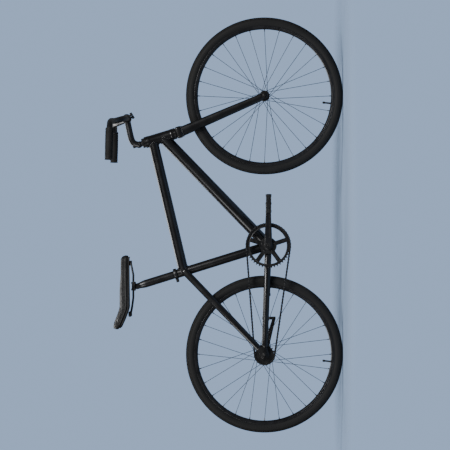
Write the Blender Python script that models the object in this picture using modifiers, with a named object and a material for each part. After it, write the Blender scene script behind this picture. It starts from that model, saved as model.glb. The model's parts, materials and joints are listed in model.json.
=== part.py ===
"""A single-speed city bicycle with a back-pedal brake, as separate pieces at real size.

Metres. +X is forwards, +Y is the rider's left and +Z is up.
The origin is on the ground, halfway between the two axles.
"""

import math

import bmesh
import bpy
from mathutils import Matrix, Vector

# Gap between neighbouring pieces, and how far a cutter runs past the wall it cuts
GAP = 0.0003
OVERRUN = 0.01

# Sides of a plain round piece and of a wheel
ROUND = 16
FINE = 36

# Wheels: 26 inch rims with a bead seat of 559 mm and 40 mm tyres
BEAD_SEAT_RADIUS = 0.2795
TYRE_SECTION = 0.040
TYRE_WALL = 0.0032
TYRE_BEAD_HEIGHT = 0.006
TYRE_OPEN_TURN = math.radians(118)
RIM_FLANGE_HEIGHT = 0.006
RIM_WIDTH = 0.028
RIM_DEPTH = 0.015
RIM_WALL = 0.0024
RIM_SHOULDER = 0.00525
RIM_WELL = 0.0050
SPOKES_PER_SIDE = 14
SPOKE_RADIUS = 0.0011
SPOKE_CROSSINGS = 2
SPOKE_CROSSING_SHIFT = 0.0004
SPOKE_RIM_OFFSET = 0.004
FRONT_FLANGE_RADIUS = 0.021
FRONT_FLANGE_SPACING = 0.064
FRONT_HUB_RADIUS = 0.014
REAR_FLANGE_RADIUS = 0.036
REAR_FLANGE_SPACING = 0.060
REAR_HUB_RADIUS = 0.025
FLANGE_THICKNESS = 0.004
AXLE_RADIUS = 0.005
AXLE_END = 0.006
HUB_END_RADIUS = 0.012
FRONT_HUB_WIDTH = 0.094
REAR_HUB_WIDTH = 0.076

# Frame
WHEELBASE = 1.050
CHAIN_STAY_LENGTH = 0.4418
BOTTOM_BRACKET_DROP = 0.015
SEAT_ANGLE = math.radians(72.7)
SEAT_TUBE_LENGTH = 0.400
SEAT_CLUSTER_DROP = 0.041
SEAT_TUBE_RADIUS = 0.018
HEAD_ANGLE = math.radians(73.0)
HEAD_TUBE_BOTTOM = 0.398
HEAD_TUBE_LENGTH = 0.114
HEAD_TUBE_RADIUS = 0.023
HEAD_TUBE_BORE = 0.0205
TOP_TUBE_HEIGHT = 0.089
TOP_TUBE_RADIUS = 0.020
DOWN_TUBE_HEIGHT = 0.045
DOWN_TUBE_RADIUS = 0.023
TUBE_WALL = 0.0011
SHELL_RADIUS = 0.024
SHELL_BORE = 0.018
SHELL_WIDTH = 0.068
REAR_SPACING = 0.120
DROPOUT_THICKNESS = 0.006
DROPOUT_RADIUS = 0.018
DROPOUT_LOBE_RADIUS = 0.0105
DROPOUT_SLOT_WIDTH = 0.0103
DROPOUT_STAY_GAP = 0.0010
STAY_END = 0.036
CHAIN_STAY_HEIGHT = 0.026
CHAIN_STAY_WIDTH = 0.016
SEAT_STAY_HEIGHT = 0.028
SEAT_STAY_WIDTH = 0.014
SEAT_STAY_SPREAD = 0.0195
SEAT_STAY_KNEE = 0.60
SEAT_STAY_KNEE_SPREAD = 0.054
BRIDGE_LENGTH = 0.032
BRIDGE_WIDTH = 0.063
BRIDGE_THICKNESS = 0.005
BRIDGE_HOLE_RADIUS = 0.005
BRIDGE_SETBACK = 0.086
COLLAR_LENGTH = 0.013
COLLAR_WALL = 0.005

# Fork and headset
FORK_RAKE = 0.040
FRONT_SPACING = 0.100
BLADE_HEIGHT = 0.038
BLADE_WIDTH = 0.018
BLADE_TAPER = 0.68
BLADE_TOP_SPREAD = 0.039
BLADE_WALL = 0.0014
BLADE_PLATE = 0.005
BLADE_PLATE_RADIUS = 0.013
BLADE_PLATE_TIP_RADIUS = 0.009
BLADE_PLATE_REACH = 0.026
BLADE_END = 0.014
CROWN_HEIGHT = 0.028
CROWN_LENGTH = 0.046
CROWN_OVERHANG = 0.011
CROWN_ROUNDING = 0.009
CROWN_HOLLOW_LENGTH = 0.034
CROWN_HOLLOW_WIDTH = 0.052
CROWN_HOLLOW_DEPTH = 0.021
STEERER_RADIUS = 0.0127
CUP_HEIGHT = 0.008
CUP_WALL = 0.003
CUP_LIP_RADIUS = 0.016
CUP_LIP_THICKNESS = 0.0024
LOCKNUT_HEIGHT = 0.011
LOCKNUT_RADIUS = 0.0195
STEERER_STEP = 0.001

# Stem, handlebar and grips
QUILL_RADIUS = 0.0111
QUILL_DEPTH = 0.075
QUILL_TOP = 0.014
STEM_SHOULDER = 0.010
NECK_RADIUS = 0.0127
NECK_RISE = 0.006
NECK_BEND_RISE = 0.026
NECK_BEND_REACH = 0.024
CLAMP_REACH = 0.1147
CLAMP_HEIGHT = 0.0301
CLAMP_WALL = 0.006
CLAMP_WIDTH = 0.046
BAR_RADIUS = 0.0122
BAR_WALL = 0.0022
BAR_HALF_WIDTH = 0.283
BAR_RISE = 0.060
BAR_SWEEP = 0.169
GRIP_LENGTH = 0.128
GRIP_RADIUS = 0.0168
GRIP_END_WALL = 0.004

# Seat post and saddle
POST_RADIUS = 0.0158
POST_WALL = 0.0022
POST_LENGTH = 0.310
POST_TOP = 0.5565
POST_HEAD = 0.020
PIVOT_RADIUS = 0.012
PIVOT_WIDTH = 0.034
RAIL_RADIUS = 0.0035
RAIL_SPREAD = 0.022
RAIL_ABOVE_PIVOT = 0.017
RAIL_STRAIGHT = 0.038
RAIL_CLEARANCE = 0.003
CRADLE_LENGTH = 0.036
CRADLE_WIDTH = 0.058
CRADLE_HEIGHT = 0.016
CRADLE_DROP = 0.002
SADDLE_LENGTH = 0.300
SADDLE_NOSE_REACH = 0.1255
SADDLE_HALF_WIDTH = 0.080
SADDLE_NOSE_HALF_WIDTH = 0.025
SADDLE_TOP_ABOVE_PIVOT = 0.070
SADDLE_THICKNESS = 0.037
SADDLE_TAIL_RISE = 0.035
SADDLE_BASE_THICKNESS = 0.007
SADDLE_CROWN = 0.006

# Drive train
CHAIN_PITCH = 0.0127
CHAINRING_TEETH = 44
SPROCKET_TEETH = 20
TOOTH_HEIGHT = 0.0032
ROLLER_RADIUS = 0.0039
TOOTH_THICKNESS = 0.0026
CHAIN_LINE = 0.047
CHAIN_HALF_WIDTH = 0.0044
CHAIN_PLATE = 0.0019
CHAIN_HALF_HEIGHT = 0.0044
CHAIN_BACK = 0.0012
DRIVER_RADIUS = 0.016
DRIVER_WIDTH = 0.015
DRIVER_INNER = 0.0055
CRANK_LENGTH = 0.170
CRANK_BOSS_RADIUS = 0.016
CRANK_TIP_RADIUS = 0.012
CRANK_THICKNESS = 0.013
CRANK_INNER_FACE = 0.0495
CRANK_SPLAY = 0.008
SPINDLE_RADIUS = 0.0085
BEARING_CUP_FLANGE = 0.0037
BEARING_CUP_RADIUS = 0.0215
BEARING_CUP_DEPTH = 0.016
CHAINRING_ARMS = 5
CHAINRING_ARM_HALF_WIDTH = 0.009
CHAINRING_BOSS_RADIUS = 0.034
CHAINRING_BAND = 0.014
PEDAL_WIDTH = 0.092
PEDAL_LENGTH = 0.076
PEDAL_THICKNESS = 0.024
PEDAL_SPINDLE_RADIUS = 0.0065
PEDAL_BARREL_RADIUS = 0.0115
PEDAL_BAR = 0.011
PEDAL_CLEARANCE = 0.006
PEDAL_END_WALL = 0.008
PEDAL_BORE_END = 0.0064
NUT_RADIUS = 0.0087
NUT_HEIGHT = 0.009
BRAKE_ARM_LENGTH = 0.145
BRAKE_ARM_DROP = 0.040
BRAKE_ARM_RADIUS = 0.0128
BRAKE_ARM_TIP_RADIUS = 0.0064
BRAKE_ARM_BOLT_RADIUS = 0.0026
BRAKE_ARM_THICKNESS = 0.003
BRAKE_ARM_PLANE = 0.0465

# Finishes: colour, roughness and metallic value
FRAME_PAINT = ((0.012, 0.012, 0.013), 0.42, 0.0)
BLACK_ANODISED = ((0.020, 0.020, 0.022), 0.38, 0.7)
BLACK_STEEL = ((0.030, 0.030, 0.032), 0.34, 0.9)
RUBBER = ((0.015, 0.015, 0.015), 0.82, 0.0)
VINYL = ((0.014, 0.014, 0.015), 0.55, 0.0)
PLASTIC = ((0.018, 0.018, 0.019), 0.60, 0.0)
CHAIN_STEEL = ((0.028, 0.027, 0.026), 0.36, 0.9)

# Points that the pieces share, worked out from the sizes above
LATERAL = Vector((0, 1, 0))
TYRE_RADIUS = BEAD_SEAT_RADIUS + TYRE_SECTION
RIM_OUTER = BEAD_SEAT_RADIUS + RIM_FLANGE_HEIGHT
RIM_INNER = RIM_OUTER - RIM_DEPTH
REAR_AXLE = Vector((-WHEELBASE / 2, 0, TYRE_RADIUS))
FRONT_AXLE = Vector((WHEELBASE / 2, 0, TYRE_RADIUS))
CRANK_AXIS = Vector(
    (
        REAR_AXLE.x + math.sqrt(CHAIN_STAY_LENGTH**2 - BOTTOM_BRACKET_DROP**2),
        0,
        TYRE_RADIUS - BOTTOM_BRACKET_DROP,
    )
)
SEAT_LINE = Vector((-math.cos(SEAT_ANGLE), 0, math.sin(SEAT_ANGLE)))
SEAT_CLUSTER = SEAT_TUBE_LENGTH - SEAT_CLUSTER_DROP
STEER_LINE = Vector((-math.cos(HEAD_ANGLE), 0, math.sin(HEAD_ANGLE)))
STEER_FRONT = Vector((math.sin(HEAD_ANGLE), 0, math.cos(HEAD_ANGLE)))
STEER_FOOT = FRONT_AXLE - STEER_FRONT * FORK_RAKE
HEAD_TUBE_TOP = HEAD_TUBE_BOTTOM + HEAD_TUBE_LENGTH
CROWN_TOP = HEAD_TUBE_BOTTOM - CUP_HEIGHT - 4 * GAP
CROWN_BOTTOM = CROWN_TOP - CROWN_HEIGHT
LOCKNUT_BOTTOM = HEAD_TUBE_TOP + CUP_HEIGHT + 4 * GAP
LOCKNUT_TOP = LOCKNUT_BOTTOM + LOCKNUT_HEIGHT
STEERER_BORE = QUILL_RADIUS + GAP
CLAMP_CENTRE = STEER_FOOT + STEER_LINE * (LOCKNUT_TOP + CLAMP_HEIGHT) + STEER_FRONT * CLAMP_REACH
PIVOT = CRANK_AXIS + SEAT_LINE * POST_TOP
SEAT_TUBE_BORE = POST_RADIUS + GAP
DROPOUT_INNER = REAR_SPACING / 2
STAY_PLANE = DROPOUT_INNER + DROPOUT_THICKNESS / 2
CHAINRING_RADIUS = CHAIN_PITCH / (2 * math.sin(math.pi / CHAINRING_TEETH))
SPROCKET_RADIUS = CHAIN_PITCH / (2 * math.sin(math.pi / SPROCKET_TEETH))
PEDAL_INNER = CRANK_INNER_FACE + CRANK_SPLAY + CRANK_THICKNESS + PEDAL_CLEARANCE
SIDES = {"left": 1, "right": -1}


def clear_scene():
    for obj in list(bpy.data.objects):
        bpy.data.objects.remove(obj)


def collection(name):
    made = bpy.data.collections.new(name)
    bpy.context.scene.collection.children.link(made)
    return made


def on_steering_axis(distance):
    return STEER_FOOT + STEER_LINE * distance


def aim(origin, direction, across=LATERAL):
    """A matrix that turns +Z to the direction and keeps +Y as near to across as it can."""
    z = Vector(direction).normalized()
    if abs(z.dot(across)) > 0.999:
        across = Vector((0, 0, 1))
    x = across.cross(z).normalized()
    y = z.cross(x)
    return Matrix.Translation(origin) @ Matrix((x, y, z)).transposed().to_4x4()


def add_object(name, data, matrix=None):
    obj = bpy.data.objects.new(name, data)
    bicycle.objects.link(obj)
    if matrix is not None:
        obj.matrix_world = matrix
    return obj


def mesh_object(name, bm, matrix=None):
    bmesh.ops.recalc_face_normals(bm, faces=bm.faces)
    mesh = bpy.data.meshes.new(name)
    bm.to_mesh(mesh)
    bm.free()
    return add_object(name, mesh, matrix)


def cylinder(name, start, end, radius, sides=ROUND):
    """A solid rod from start to end, whose facets lie alike for every rod on one axis."""
    start = Vector(start)
    end = Vector(end)
    bm = bmesh.new()
    bmesh.ops.create_cone(
        bm,
        cap_ends=True,
        segments=sides,
        radius1=radius,
        radius2=radius,
        depth=(end - start).length,
    )
    return mesh_object(name, bm, aim((start + end) / 2, end - start))


def box(name, centre, size, matrix=None):
    bm = bmesh.new()
    bmesh.ops.create_cube(bm, size=1, matrix=Matrix.Diagonal((*size, 1)))
    place = Matrix.Translation(centre)
    return mesh_object(name, bm, place if matrix is None else matrix @ place)


def turned(name, profile, matrix, steps=ROUND):
    """A closed (radius, height) profile turned about the matrix's +Z by a Screw modifier."""
    following = profile[1:] + profile[:1]
    area = sum(a[0] * b[1] - b[0] * a[1] for a, b in zip(profile, following))
    if area > 0:
        profile = profile[::-1]
    mesh = bpy.data.meshes.new(name)
    bm = bmesh.new()
    points = [bm.verts.new((radius, 0, height)) for radius, height in profile]
    for here, there in zip(points, points[1:] + points[:1]):
        bm.edges.new((here, there))
    bm.to_mesh(mesh)
    bm.free()
    obj = add_object(name, mesh, matrix)
    screw = obj.modifiers.new("Turn", "SCREW")
    screw.steps = steps
    screw.render_steps = steps
    screw.use_merge_vertices = True
    screw.merge_threshold = 0.00001
    return obj


def ring(name, origin, direction, outer, bore, low, high, steps=ROUND):
    """A plain ring along the direction, from low to high."""
    profile = [(outer, high), (outer, low), (bore, low), (bore, high)]
    return turned(name, profile, aim(origin, direction), steps)


def as_mesh(obj):
    """The object with its curve or modifiers made a plain closed mesh."""
    bpy.context.view_layer.update()
    evaluated = obj.evaluated_get(bpy.context.evaluated_depsgraph_get())
    mesh = bpy.data.meshes.new_from_object(evaluated)
    bm = bmesh.new()
    bm.from_mesh(mesh)
    bmesh.ops.remove_doubles(bm, verts=bm.verts, dist=0.000001)
    bmesh.ops.recalc_face_normals(bm, faces=bm.faces)
    bm.to_mesh(mesh)
    bm.free()
    name = obj.name
    matrix = obj.matrix_world.copy()
    bpy.data.objects.remove(obj)
    return add_object(name, mesh, matrix)


def curve(name, points, radii=None, cyclic=False):
    data = bpy.data.curves.new(name, "CURVE")
    data.dimensions = "3D"
    spline = data.splines.new("POLY")
    spline.points.add(len(points) - 1)
    spline.use_cyclic_u = cyclic
    for index, (target, point) in enumerate(zip(spline.points, points)):
        target.co = (*point, 1)
        target.radius = 1 if radii is None else radii[index]
    return data


def wire(name, points, radius, resolution=3, radii=None):
    """A solid round wire through the points."""
    data = curve(name, points, radii)
    data.bevel_depth = radius
    data.bevel_resolution = resolution
    data.use_fill_caps = True
    return as_mesh(add_object(name, data))


def section(name, points):
    """A flat closed outline that a sweep carries along its path."""
    data = bpy.data.curves.new(name, "CURVE")
    data.dimensions = "2D"
    spline = data.splines.new("POLY")
    spline.points.add(len(points) - 1)
    spline.use_cyclic_u = True
    for target, (x, y) in zip(spline.points, points):
        target.co = (x, y, 0, 1)
    guide = bpy.data.objects.new(name, data)
    helper(guide)
    return guide


def oval(width, height, sides):
    angles = [2 * math.pi * (step + 0.5) / sides for step in range(sides)]
    return [(width / 2 * math.cos(a), height / 2 * math.sin(a)) for a in angles]


def oval_tube(name, points, width, height, radii, wall, grow=0.0, sides=12):
    """A tube of oval section that tapers along its path. Without a wall it is solid."""
    guide = section(f"{name}_section", oval(width + 2 * grow, height + 2 * grow, sides))
    data = curve(name, points, radii)
    data.twist_mode = "Z_UP"
    data.bevel_mode = "OBJECT"
    data.bevel_object = guide
    data.use_fill_caps = wall is None
    obj = as_mesh(add_object(name, data))
    bpy.data.objects.remove(guide)
    if wall is not None:
        skin = obj.modifiers.new("Wall", "SOLIDIFY")
        skin.thickness = wall
        skin.offset = -1
        skin.use_even_offset = True
    return obj


def outline(name, loops, thickness, plane):
    """A flat plate in the X and Z directions, its first loop the edge and the others holes."""
    data = bpy.data.curves.new(name, "CURVE")
    data.dimensions = "2D"
    data.fill_mode = "BOTH"
    data.extrude = thickness / 2
    for loop in loops:
        spline = data.splines.new("POLY")
        spline.points.add(len(loop) - 1)
        spline.use_cyclic_u = True
        for target, (x, z) in zip(spline.points, loop):
            target.co = (x, z, 0, 1)
    upright = Matrix.Rotation(math.pi / 2, 4, "X")
    return as_mesh(add_object(name, data, Matrix.Translation((0, plane, 0)) @ upright))


def arc(centre, radius, start, end, steps):
    turns = [start + (end - start) * step / steps for step in range(steps + 1)]
    return [(centre[0] + radius * math.cos(a), centre[1] + radius * math.sin(a)) for a in turns]


def circle(centre, radius, sides=ROUND, turn=0.0):
    return arc(centre, radius, turn, turn + 2 * math.pi * (sides - 1) / sides, sides - 1)


def wrapped_discs(name, discs, sides=16):
    """The solid that a tight band round several upright discs would hold.

    Each disc is its centre, its radius and its thickness across.
    """
    bm = bmesh.new()
    for centre, radius, thickness in discs:
        for x, z in circle((centre.x, centre.z), radius, sides):
            for side in (-0.5, 0.5):
                bm.verts.new((x, centre.y + side * thickness, z))
    hull = bmesh.ops.convex_hull(bm, input=bm.verts)
    spare = {v for v in hull["geom_interior"] + hull["geom_unused"] if isinstance(v, bmesh.types.BMVert)}
    bmesh.ops.delete(bm, geom=list(spare), context="VERTS")
    return mesh_object(name, bm)


def helper(obj):
    """Puts a cutter or guide with the others, out of the render."""
    for owner in list(obj.users_collection):
        owner.objects.unlink(obj)
    cutters.objects.link(obj)
    obj.hide_render = True
    obj.display_type = "WIRE"


def cut(obj, cutter, solver="EXACT"):
    helper(cutter)
    boolean = obj.modifiers.new(f"Cut by {cutter.name}", "BOOLEAN")
    boolean.solver = solver
    boolean.operation = "DIFFERENCE"
    boolean.object = cutter
    return obj


def join(obj, *others, solver="EXACT"):
    for other in others:
        helper(other)
        boolean = obj.modifiers.new(f"Joined to {other.name}", "BOOLEAN")
        boolean.solver = solver
        boolean.operation = "UNION"
        boolean.object = other
    return obj


def finish(obj, look, sharp_angle=35.0):
    colour, roughness, metallic = look
    material = bpy.data.materials.new(obj.name)
    material.use_nodes = True
    shader = material.node_tree.nodes["Principled BSDF"]
    shader.inputs["Base Color"].default_value = (*colour, 1)
    shader.inputs["Roughness"].default_value = roughness
    shader.inputs["Metallic"].default_value = metallic
    material.diffuse_color = (*colour, 1)
    obj.data.materials.clear()
    obj.data.materials.append(material)
    obj.data.shade_smooth()
    obj.data.set_sharp_from_angle(angle=math.radians(sharp_angle))
    return obj


def joint_axis(name, origin, direction, parent=None):
    empty = bpy.data.objects.new(name, None)
    empty.empty_display_size = 0.05
    bicycle.objects.link(empty)
    empty.matrix_world = aim(origin, direction)
    bpy.context.view_layer.update()
    if parent is not None:
        hang([empty], parent)
    return empty


def hang(pieces, axis):
    """Parents the pieces to an axis empty and leaves them where they are."""
    for piece in pieces:
        place = piece.matrix_world.copy()
        piece.parent = axis
        piece.matrix_parent_inverse = axis.matrix_world.inverted()
        piece.matrix_world = place
    bpy.context.view_layer.update()


def frame_rod(name, start, end, radius, grow=0.0):
    """The plain rod on a frame tube's axis, also used to mitre its neighbours."""
    return cylinder(name, start, end, radius + grow)


def head_rod(name, grow=GAP):
    return frame_rod(name, on_steering_axis(HEAD_TUBE_BOTTOM - 2 * OVERRUN),
                     on_steering_axis(HEAD_TUBE_TOP + 2 * OVERRUN), HEAD_TUBE_RADIUS, grow)


def seat_rod(name, grow=GAP):
    return frame_rod(name, CRANK_AXIS, CRANK_AXIS + SEAT_LINE * (SEAT_TUBE_LENGTH + 2 * OVERRUN),
                     SEAT_TUBE_RADIUS, grow)


def shell_rod(name, grow=GAP):
    half = LATERAL * (SHELL_WIDTH / 2 + OVERRUN)
    return frame_rod(name, CRANK_AXIS - half, CRANK_AXIS + half, SHELL_RADIUS, grow)


def straight_tube(name, start, end, radius, wall, mitres):
    tube = frame_rod(name, start, end, radius)
    along = (Vector(end) - Vector(start)).normalized() * OVERRUN
    cut(tube, cylinder(f"{name}_bore", start - along, end + along, radius - wall))
    for mitre in mitres:
        cut(tube, mitre)
    return finish(tube, FRAME_PAINT)


def chain_stay_points(side):
    """From the bottom bracket, round the tyre and the chainring, to the rear dropout."""
    end = REAR_AXLE + Vector((STAY_END, 0, -STAY_END * 0.034))
    span = end.x - CRANK_AXIS.x
    spread = [(0.0, 0.38), (0.18, 0.50), (0.32, 0.59), (0.52, 0.735), (0.78, 0.90), (0.94, 1.0), (1.0, 1.0)]
    return [
        Vector((CRANK_AXIS.x + span * run, side * STAY_PLANE * wide,
                CRANK_AXIS.z + (end.z - CRANK_AXIS.z) * run))
        for run, wide in spread
    ]


def chain_stay(name, side, grow=0.0):
    points = chain_stay_points(side)
    wall = None if grow else TUBE_WALL
    return oval_tube(name, points, CHAIN_STAY_WIDTH, CHAIN_STAY_HEIGHT,
                     [1.0, 1.0, 1.0, 0.97, 0.92, 0.88, 0.86], wall, grow)


def seat_stay(name, side):
    top = CRANK_AXIS + SEAT_LINE * (SEAT_CLUSTER - 0.004) + LATERAL * side * SEAT_STAY_SPREAD
    bottom = REAR_AXLE + LATERAL * side * STAY_PLANE
    along = (bottom - top).normalized()
    bottom -= along * STAY_END
    knee = top.lerp(bottom, SEAT_STAY_KNEE)
    knee.y = side * SEAT_STAY_KNEE_SPREAD
    return oval_tube(name, [top, knee, bottom], SEAT_STAY_WIDTH, SEAT_STAY_HEIGHT,
                     [1.0, 0.90, 0.76], TUBE_WALL)


def build_frame():
    seat_cluster = CRANK_AXIS + SEAT_LINE * SEAT_CLUSTER
    head_top = on_steering_axis(HEAD_TUBE_BOTTOM + TOP_TUBE_HEIGHT)
    head_low = on_steering_axis(HEAD_TUBE_BOTTOM + DOWN_TUBE_HEIGHT)
    straight_tube("top_tube", seat_cluster, head_top, TOP_TUBE_RADIUS, TUBE_WALL,
                  [head_rod("top_tube_head_mitre"), seat_rod("top_tube_seat_mitre")])
    straight_tube("down_tube", CRANK_AXIS.copy(), head_low, DOWN_TUBE_RADIUS, TUBE_WALL,
                  [head_rod("down_tube_head_mitre"), shell_rod("down_tube_shell_mitre"),
                   seat_rod("down_tube_seat_mitre")])
    straight_tube("seat_tube", CRANK_AXIS.copy(), CRANK_AXIS + SEAT_LINE * SEAT_TUBE_LENGTH,
                  SEAT_TUBE_RADIUS, SEAT_TUBE_RADIUS - SEAT_TUBE_BORE, [shell_rod("seat_tube_mitre")])
    head = ring("head_tube", STEER_FOOT, STEER_LINE, HEAD_TUBE_RADIUS, HEAD_TUBE_BORE,
                HEAD_TUBE_BOTTOM, HEAD_TUBE_TOP)
    finish(head, FRAME_PAINT)
    shell = ring("bottom_bracket_shell", CRANK_AXIS, LATERAL, SHELL_RADIUS, SHELL_BORE,
                 -SHELL_WIDTH / 2, SHELL_WIDTH / 2)
    finish(shell, FRAME_PAINT)
    for word, side in SIDES.items():
        stay = chain_stay(f"chain_stay_{word}", side)
        cut(stay, shell_rod(f"chain_stay_{word}_shell_mitre"))
        cut(stay, seat_rod(f"chain_stay_{word}_seat_mitre"))
        finish(stay, FRAME_PAINT)
        stay = seat_stay(f"seat_stay_{word}", side)
        cut(stay, seat_rod(f"seat_stay_{word}_mitre"))
        finish(stay, FRAME_PAINT)
        build_dropout(word, side)
    build_bridge()
    collar = ring("seat_post_collar", CRANK_AXIS, SEAT_LINE, SEAT_TUBE_RADIUS + GAP + COLLAR_WALL,
                  SEAT_TUBE_RADIUS + GAP, SEAT_TUBE_LENGTH - COLLAR_LENGTH, SEAT_TUBE_LENGTH)
    finish(collar, BLACK_ANODISED)


def build_dropout(word, side):
    """The plate that holds the rear axle, with its slot open to the rear."""
    centre = REAR_AXLE + LATERAL * side * STAY_PLANE
    reach = STAY_END - DROPOUT_LOBE_RADIUS - DROPOUT_STAY_GAP
    stay_top = CRANK_AXIS + SEAT_LINE * SEAT_CLUSTER - REAR_AXLE
    up = Vector((stay_top.x, 0, stay_top.z)).normalized()
    plate = wrapped_discs(f"dropout_{word}", [
        (centre, DROPOUT_RADIUS, DROPOUT_THICKNESS),
        (centre + Vector((reach, 0, 0)), DROPOUT_LOBE_RADIUS, DROPOUT_THICKNESS),
        (centre + up * reach, DROPOUT_LOBE_RADIUS, DROPOUT_THICKNESS),
    ])
    across = LATERAL * OVERRUN
    cut(plate, cylinder(f"dropout_{word}_hole", centre - across, centre + across, AXLE_RADIUS + GAP))
    cut(plate, box(f"dropout_{word}_slot", centre - Vector((DROPOUT_RADIUS, 0, 0)),
                   (2 * DROPOUT_RADIUS, 2 * OVERRUN, DROPOUT_SLOT_WIDTH)))
    finish(plate, FRAME_PAINT)


def build_bridge():
    """The flat plate between the chain stays that a stand or mudguard bolts to."""
    centre = CRANK_AXIS - Vector((BRIDGE_SETBACK, 0, 0))
    plate = box("chain_stay_bridge", centre, (BRIDGE_LENGTH, BRIDGE_WIDTH, BRIDGE_THICKNESS))
    for word, side in SIDES.items():
        cut(plate, chain_stay(f"bridge_{word}_mitre", side, GAP))
    upward = Vector((0, 0, OVERRUN))
    cut(plate, cylinder("bridge_hole", centre - upward, centre + upward, BRIDGE_HOLE_RADIUS))
    finish(plate, FRAME_PAINT)


def build_headset():
    """Cups pressed on the head tube, each with the bearing that the fork turns in."""
    outer = HEAD_TUBE_RADIUS
    inner = outer - CUP_WALL
    bore = STEERER_RADIUS + 2 * GAP
    lip = CUP_LIP_THICKNESS
    low = HEAD_TUBE_BOTTOM - GAP
    high = HEAD_TUBE_TOP + GAP
    lower = [(outer, low), (outer, low - CUP_HEIGHT), (inner, low - CUP_HEIGHT),
             (inner, low - lip), (CUP_LIP_RADIUS, low - lip), (CUP_LIP_RADIUS, low)]
    upper = [(outer, high + CUP_HEIGHT), (outer, high), (CUP_LIP_RADIUS, high),
             (CUP_LIP_RADIUS, high + lip), (inner, high + lip), (inner, high + CUP_HEIGHT)]
    place = aim(STEER_FOOT, STEER_LINE)
    finish(turned("headset_lower_cup", lower, place), BLACK_ANODISED)
    finish(turned("headset_upper_cup", upper, place), BLACK_ANODISED)
    bearing = ring("headset_lower_bearing", STEER_FOOT, STEER_LINE, inner - GAP, bore,
                   low - CUP_HEIGHT, low - lip - GAP)
    finish(bearing, BLACK_STEEL)
    bearing = ring("headset_upper_bearing", STEER_FOOT, STEER_LINE, inner - GAP, bore,
                   high + lip + GAP, high + CUP_HEIGHT)
    finish(bearing, BLACK_STEEL)


def blade_points(side):
    top = on_steering_axis(CROWN_BOTTOM - GAP) + LATERAL * side * BLADE_TOP_SPREAD
    plane = LATERAL * side * (FRONT_SPACING / 2 + BLADE_PLATE / 2)
    bottom = FRONT_AXLE + plane
    along = (bottom - top).normalized()
    return top, bottom - along * BLADE_END


def build_fork(axis):
    """Steerer, crown and two straight blades that lean forwards from the crown."""
    steerer = ring("fork_steerer", STEER_FOOT, STEER_LINE, STEERER_RADIUS, STEERER_BORE,
                   CROWN_TOP + GAP, LOCKNUT_TOP - STEERER_STEP)
    finish(steerer, BLACK_STEEL)
    middle = (CROWN_TOP + CROWN_BOTTOM) / 2
    crown = box("fork_crown", Vector((0, 0, middle)),
                (CROWN_LENGTH, 2 * (BLADE_TOP_SPREAD + CROWN_OVERHANG), CROWN_HEIGHT),
                aim(STEER_FOOT, STEER_LINE))
    soften(crown, CROWN_ROUNDING, 2)
    hollow = box("fork_crown_hollow", Vector((0, 0, CROWN_BOTTOM)),
                 (CROWN_HOLLOW_LENGTH, CROWN_HOLLOW_WIDTH, 2 * CROWN_HOLLOW_DEPTH),
                 aim(STEER_FOOT, STEER_LINE))
    cut(crown, hollow)
    finish(crown, FRAME_PAINT)
    locknut = cylinder("headset_locknut", on_steering_axis(LOCKNUT_BOTTOM), on_steering_axis(LOCKNUT_TOP),
                       LOCKNUT_RADIUS, 8)
    cut(locknut, cylinder("locknut_bore", on_steering_axis(LOCKNUT_BOTTOM - OVERRUN),
                          on_steering_axis(LOCKNUT_TOP + OVERRUN), STEERER_RADIUS + GAP))
    finish(locknut, BLACK_ANODISED)
    pieces = [steerer, crown, locknut]
    for word, side in SIDES.items():
        top, bottom = blade_points(side)
        blade = oval_tube(f"fork_blade_{word}", [top, top.lerp(bottom, 0.5), bottom], BLADE_WIDTH,
                          BLADE_HEIGHT, [1.0, (1 + BLADE_TAPER) / 2, BLADE_TAPER], BLADE_WALL)
        level = cylinder(f"fork_blade_{word}_top_cut", on_steering_axis(CROWN_BOTTOM - GAP),
                         on_steering_axis(CROWN_TOP), 2 * BLADE_TOP_SPREAD, 12)
        cut(blade, level)
        centre = FRONT_AXLE + LATERAL * side * (FRONT_SPACING + BLADE_PLATE) / 2
        up = (top - bottom).normalized() * BLADE_PLATE_REACH
        up.y = 0
        plate = wrapped_discs(f"fork_blade_{word}_plate",
                              [(centre, BLADE_PLATE_RADIUS, BLADE_PLATE),
                               (centre + up, BLADE_PLATE_TIP_RADIUS, BLADE_PLATE)], 12)
        join(blade, plate)
        reach = LATERAL * 2 * OVERRUN
        cut(blade, cylinder(f"fork_blade_{word}_hole", centre - reach, centre + reach,
                            AXLE_RADIUS + GAP, 12))
        finish(blade, FRAME_PAINT)
        pieces.append(blade)
    hang(pieces, axis)


def soften(obj, width, segments):
    bevel = obj.modifiers.new("Rounded edges", "BEVEL")
    bevel.width = width
    bevel.segments = segments
    bevel.limit_method = "ANGLE"
    bevel.angle_limit = math.radians(40)


def axle(name, centre, half_length):
    rod = cylinder(name, centre - LATERAL * half_length, centre + LATERAL * half_length, AXLE_RADIUS, 12)
    return finish(rod, BLACK_STEEL)


def axle_nut(name, centre, side, plane):
    near = centre + LATERAL * side * (plane + GAP)
    far = near + LATERAL * side * NUT_HEIGHT
    nut = cylinder(name, near, far, NUT_RADIUS, 6)
    cut(nut, cylinder(f"{name}_bore", near - (far - near), far + (far - near), AXLE_RADIUS + GAP, 12))
    return finish(nut, BLACK_STEEL, 20)


def build_axles(steering):
    rear_plane = DROPOUT_INNER + DROPOUT_THICKNESS
    front_plane = FRONT_SPACING / 2 + BLADE_PLATE
    axle("rear_axle", REAR_AXLE, rear_plane + NUT_HEIGHT + AXLE_END)
    front = [axle("front_axle", FRONT_AXLE, front_plane + NUT_HEIGHT + AXLE_END)]
    for word, side in SIDES.items():
        axle_nut(f"rear_axle_nut_{word}", REAR_AXLE, side, rear_plane)
        front.append(axle_nut(f"front_axle_nut_{word}", FRONT_AXLE, side, front_plane))
    hang(front, steering)


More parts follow.
